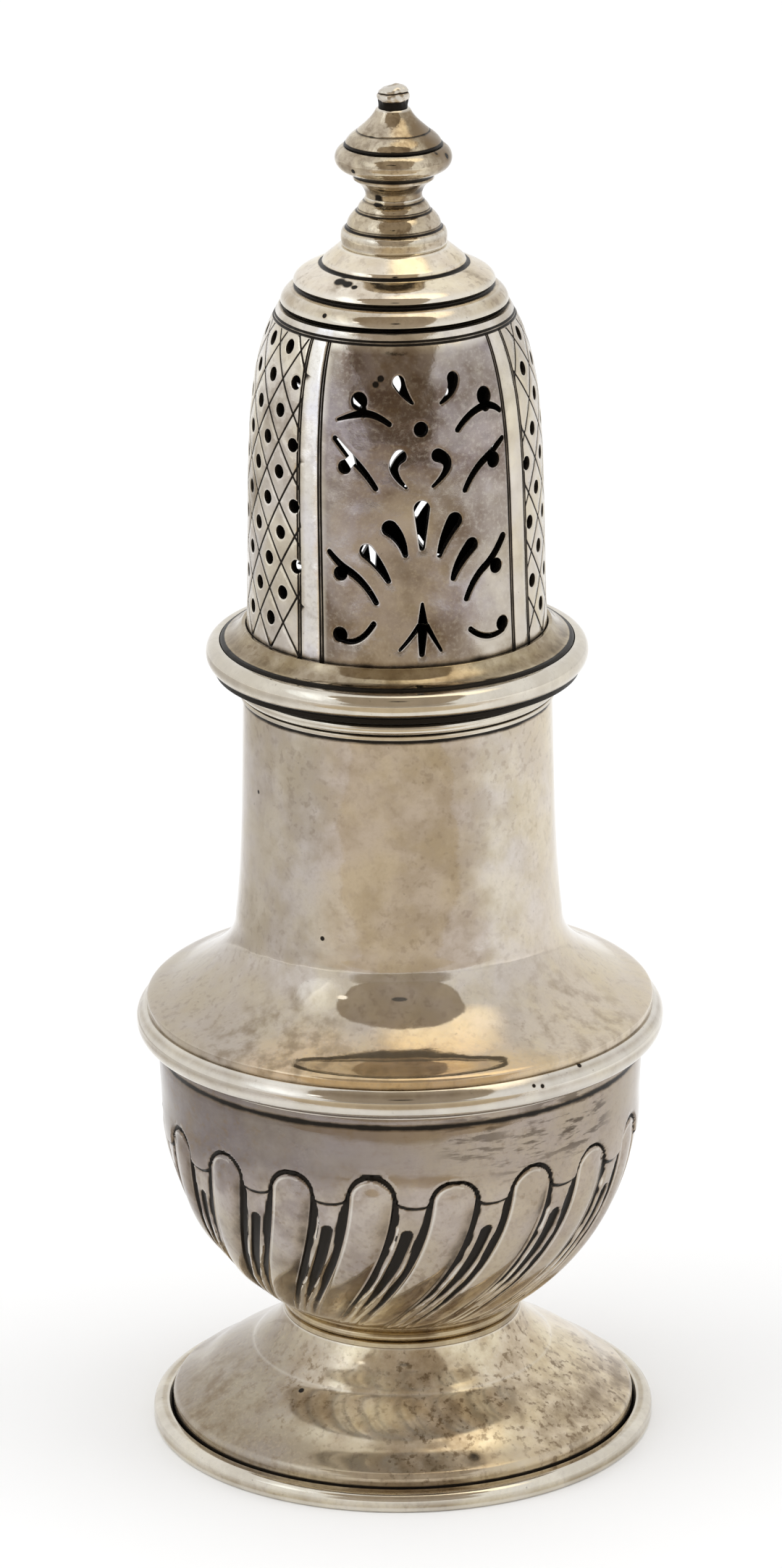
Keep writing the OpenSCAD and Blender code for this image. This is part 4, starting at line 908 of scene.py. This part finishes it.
# Stage. A pale floor in an even white studio with two soft lamps.
# Cards that show only in reflections give the metal its darker and warmer shapes.
floor_mesh = bpy.data.meshes.new("floor")
floor_mesh.from_pydata([(-4, -4, 0), (4, -4, 0), (4, 4, 0), (-4, 4, 0)], [], [(0, 1, 2, 3)])
floor_object = added("floor", floor_mesh)
floor_paint = bpy.data.materials.new("floor_paint")
floor_paint.use_nodes = True
floor_inputs = floor_paint.node_tree.nodes["Principled BSDF"].inputs
floor_inputs["Base Color"].default_value = (0.97, 0.97, 0.97, 1)
floor_inputs["Roughness"].default_value = 0.9
floor_mesh.materials.append(floor_paint)


def card(name, centre, across, up, colour, edge, power=4.0, glow=0.0):
    """A flat card that only shows in reflections: a rounded oblong with a soft edge, which may glow."""
    centre, across, up = [np.array(v, float) for v in (centre, across, up)]
    mesh = bpy.data.meshes.new(name)
    mesh.from_pydata([tuple(centre + a * across + b * up) for a, b in ((-1, -1), (1, -1), (1, 1), (-1, 1))],
                     [], [(0, 1, 2, 3)])
    mesh.uv_layers.new(name="UVMap").data.foreach_set("uv", np.array([0, 0, 1, 0, 1, 1, 0, 1], np.float32))
    paint = bpy.data.materials.new(name)
    field = blank(paint)
    uv = field.node("ShaderNodeTexCoord", {}, {}, "UV")
    aside = [field.node("ShaderNodeSeparateXYZ", {}, {0: uv}, k) * 2 - 1 for k in (0, 1)]
    out = field.math("POWER", field.math("ABSOLUTE", aside[0], 0), power) + field.math(
        "POWER", field.math("ABSOLUTE", aside[1], 0), power)
    shader = field.node("ShaderNodeBsdfPrincipled", {}, {
        "Base Color": (*colour, 1), "Roughness": 0.9, "Specular IOR Level": 0.0,
        "Alpha": (1 - out).smooth(0, edge), "Emission Color": (*colour, 1), "Emission Strength": glow})
    field.node("ShaderNodeOutputMaterial", {}, {"Surface": shader})
    mesh.materials.append(paint)
    obj = added(name, mesh)
    obj.visible_camera = obj.visible_shadow = obj.visible_diffuse = False


card("left_floor", (-0.5, 0, 0.0005), (0.45, 0, 0), (0, 0.5, 0), (0.64, 0.62, 0.60), 0.9)
card("front_floor", (0.03, -0.5, 0.001), (0.4, 0, 0), (0, 0.43, 0), (0.68, 0.61, 0.53), 0.9)
card("table", (0.0, -0.42, 0.0015), (0.17, 0, 0), (0, 0.32, 0), (0.62, 0.53, 0.40), 0.3, 8.0)
card("screen", (0, -1.1, 0.2), (0.8, 0, 0), (0, 0, 0.25), (0.42, 0.37, 0.31), 0.8)
card("opening", (0, -0.354, 0.409), (0.31, 0, 0), (0, 0.24, 0.24), (0.38, 0.32, 0.25), 0.12)
card("bulb", (-0.28, -0.30, 0.42), (0.03, 0, 0), (0, 0.03, 0.03), (1.0, 1.0, 1.0), 0.6, 2.0, 1.0)
card("lens", (0, -0.348, 0.40), (0.038, 0, 0), (0, 0.024, 0.024), (0.02, 0.018, 0.016), 0.3, 2.0)
card("lamp_left", (-0.95, -0.45, 0.7), (0.7, 0.2, 0), (0, 0.5, 0.5), (0.93, 0.97, 1.0), 1.0, 2.0, 0.4)
card("lamp_right", (0.21, -0.08, 0.72), (0.34, 0, 0), (0, 0.3, 0.05), (1.0, 0.91, 0.74), 1.0, 2.0, 0.7)

world = bpy.data.worlds.new("studio")
bpy.context.scene.world = world
sky = blank(world)
ray = lambda output: sky.node("ShaderNodeLightPath", {}, {}, output)
seen = ray("Is Camera Ray") + ray("Is Glossy Ray") + ray("Is Transmission Ray")
shown = seen.smooth(0, 1).blend((0.98, 0.98, 0.98), (1, 1, 1))
backdrop = sky.node("ShaderNodeBackground", {}, {"Color": shown, "Strength": 1.0})
sky.node("ShaderNodeOutputWorld", {}, {"Surface": backdrop})

for name, spot, size, power in (
        ("left", (-0.9, -0.3, 0.6), 0.9, 3.0), ("right", (0.9, -0.1, 0.5), 0.7, 2.0)):
    lamp = bpy.data.lights.new(name, "AREA")
    lamp.size, lamp.energy = size, power
    lamp_object = added(name, lamp)
    lamp_object.location = spot
    lamp_object.visible_glossy = False
    lamp_object.rotation_euler = (Vector((0, 0, 0.07)) - Vector(spot)).to_track_quat("-Z", "Y").to_euler()

# Camera. A long lens a little above the caster and in front of it.
# It looks down by nineteen degrees and leans by half a degree.
camera = bpy.data.cameras.new("camera")
camera.lens, camera.sensor_width, camera.clip_start = 179.25, 36, 0.01
camera_object = added("camera", camera)
tilt, lean = np.radians(70.83), np.radians(-0.4555)
camera_object.matrix_world = (Matrix.Translation((-0.00076, -0.7832, 0.3447))
                              @ Matrix.Rotation(tilt, 4, "X") @ Matrix.Rotation(lean, 4, "Z"))
bpy.context.scene.camera = camera_object
bpy.context.scene.view_settings.view_transform = "Standard"
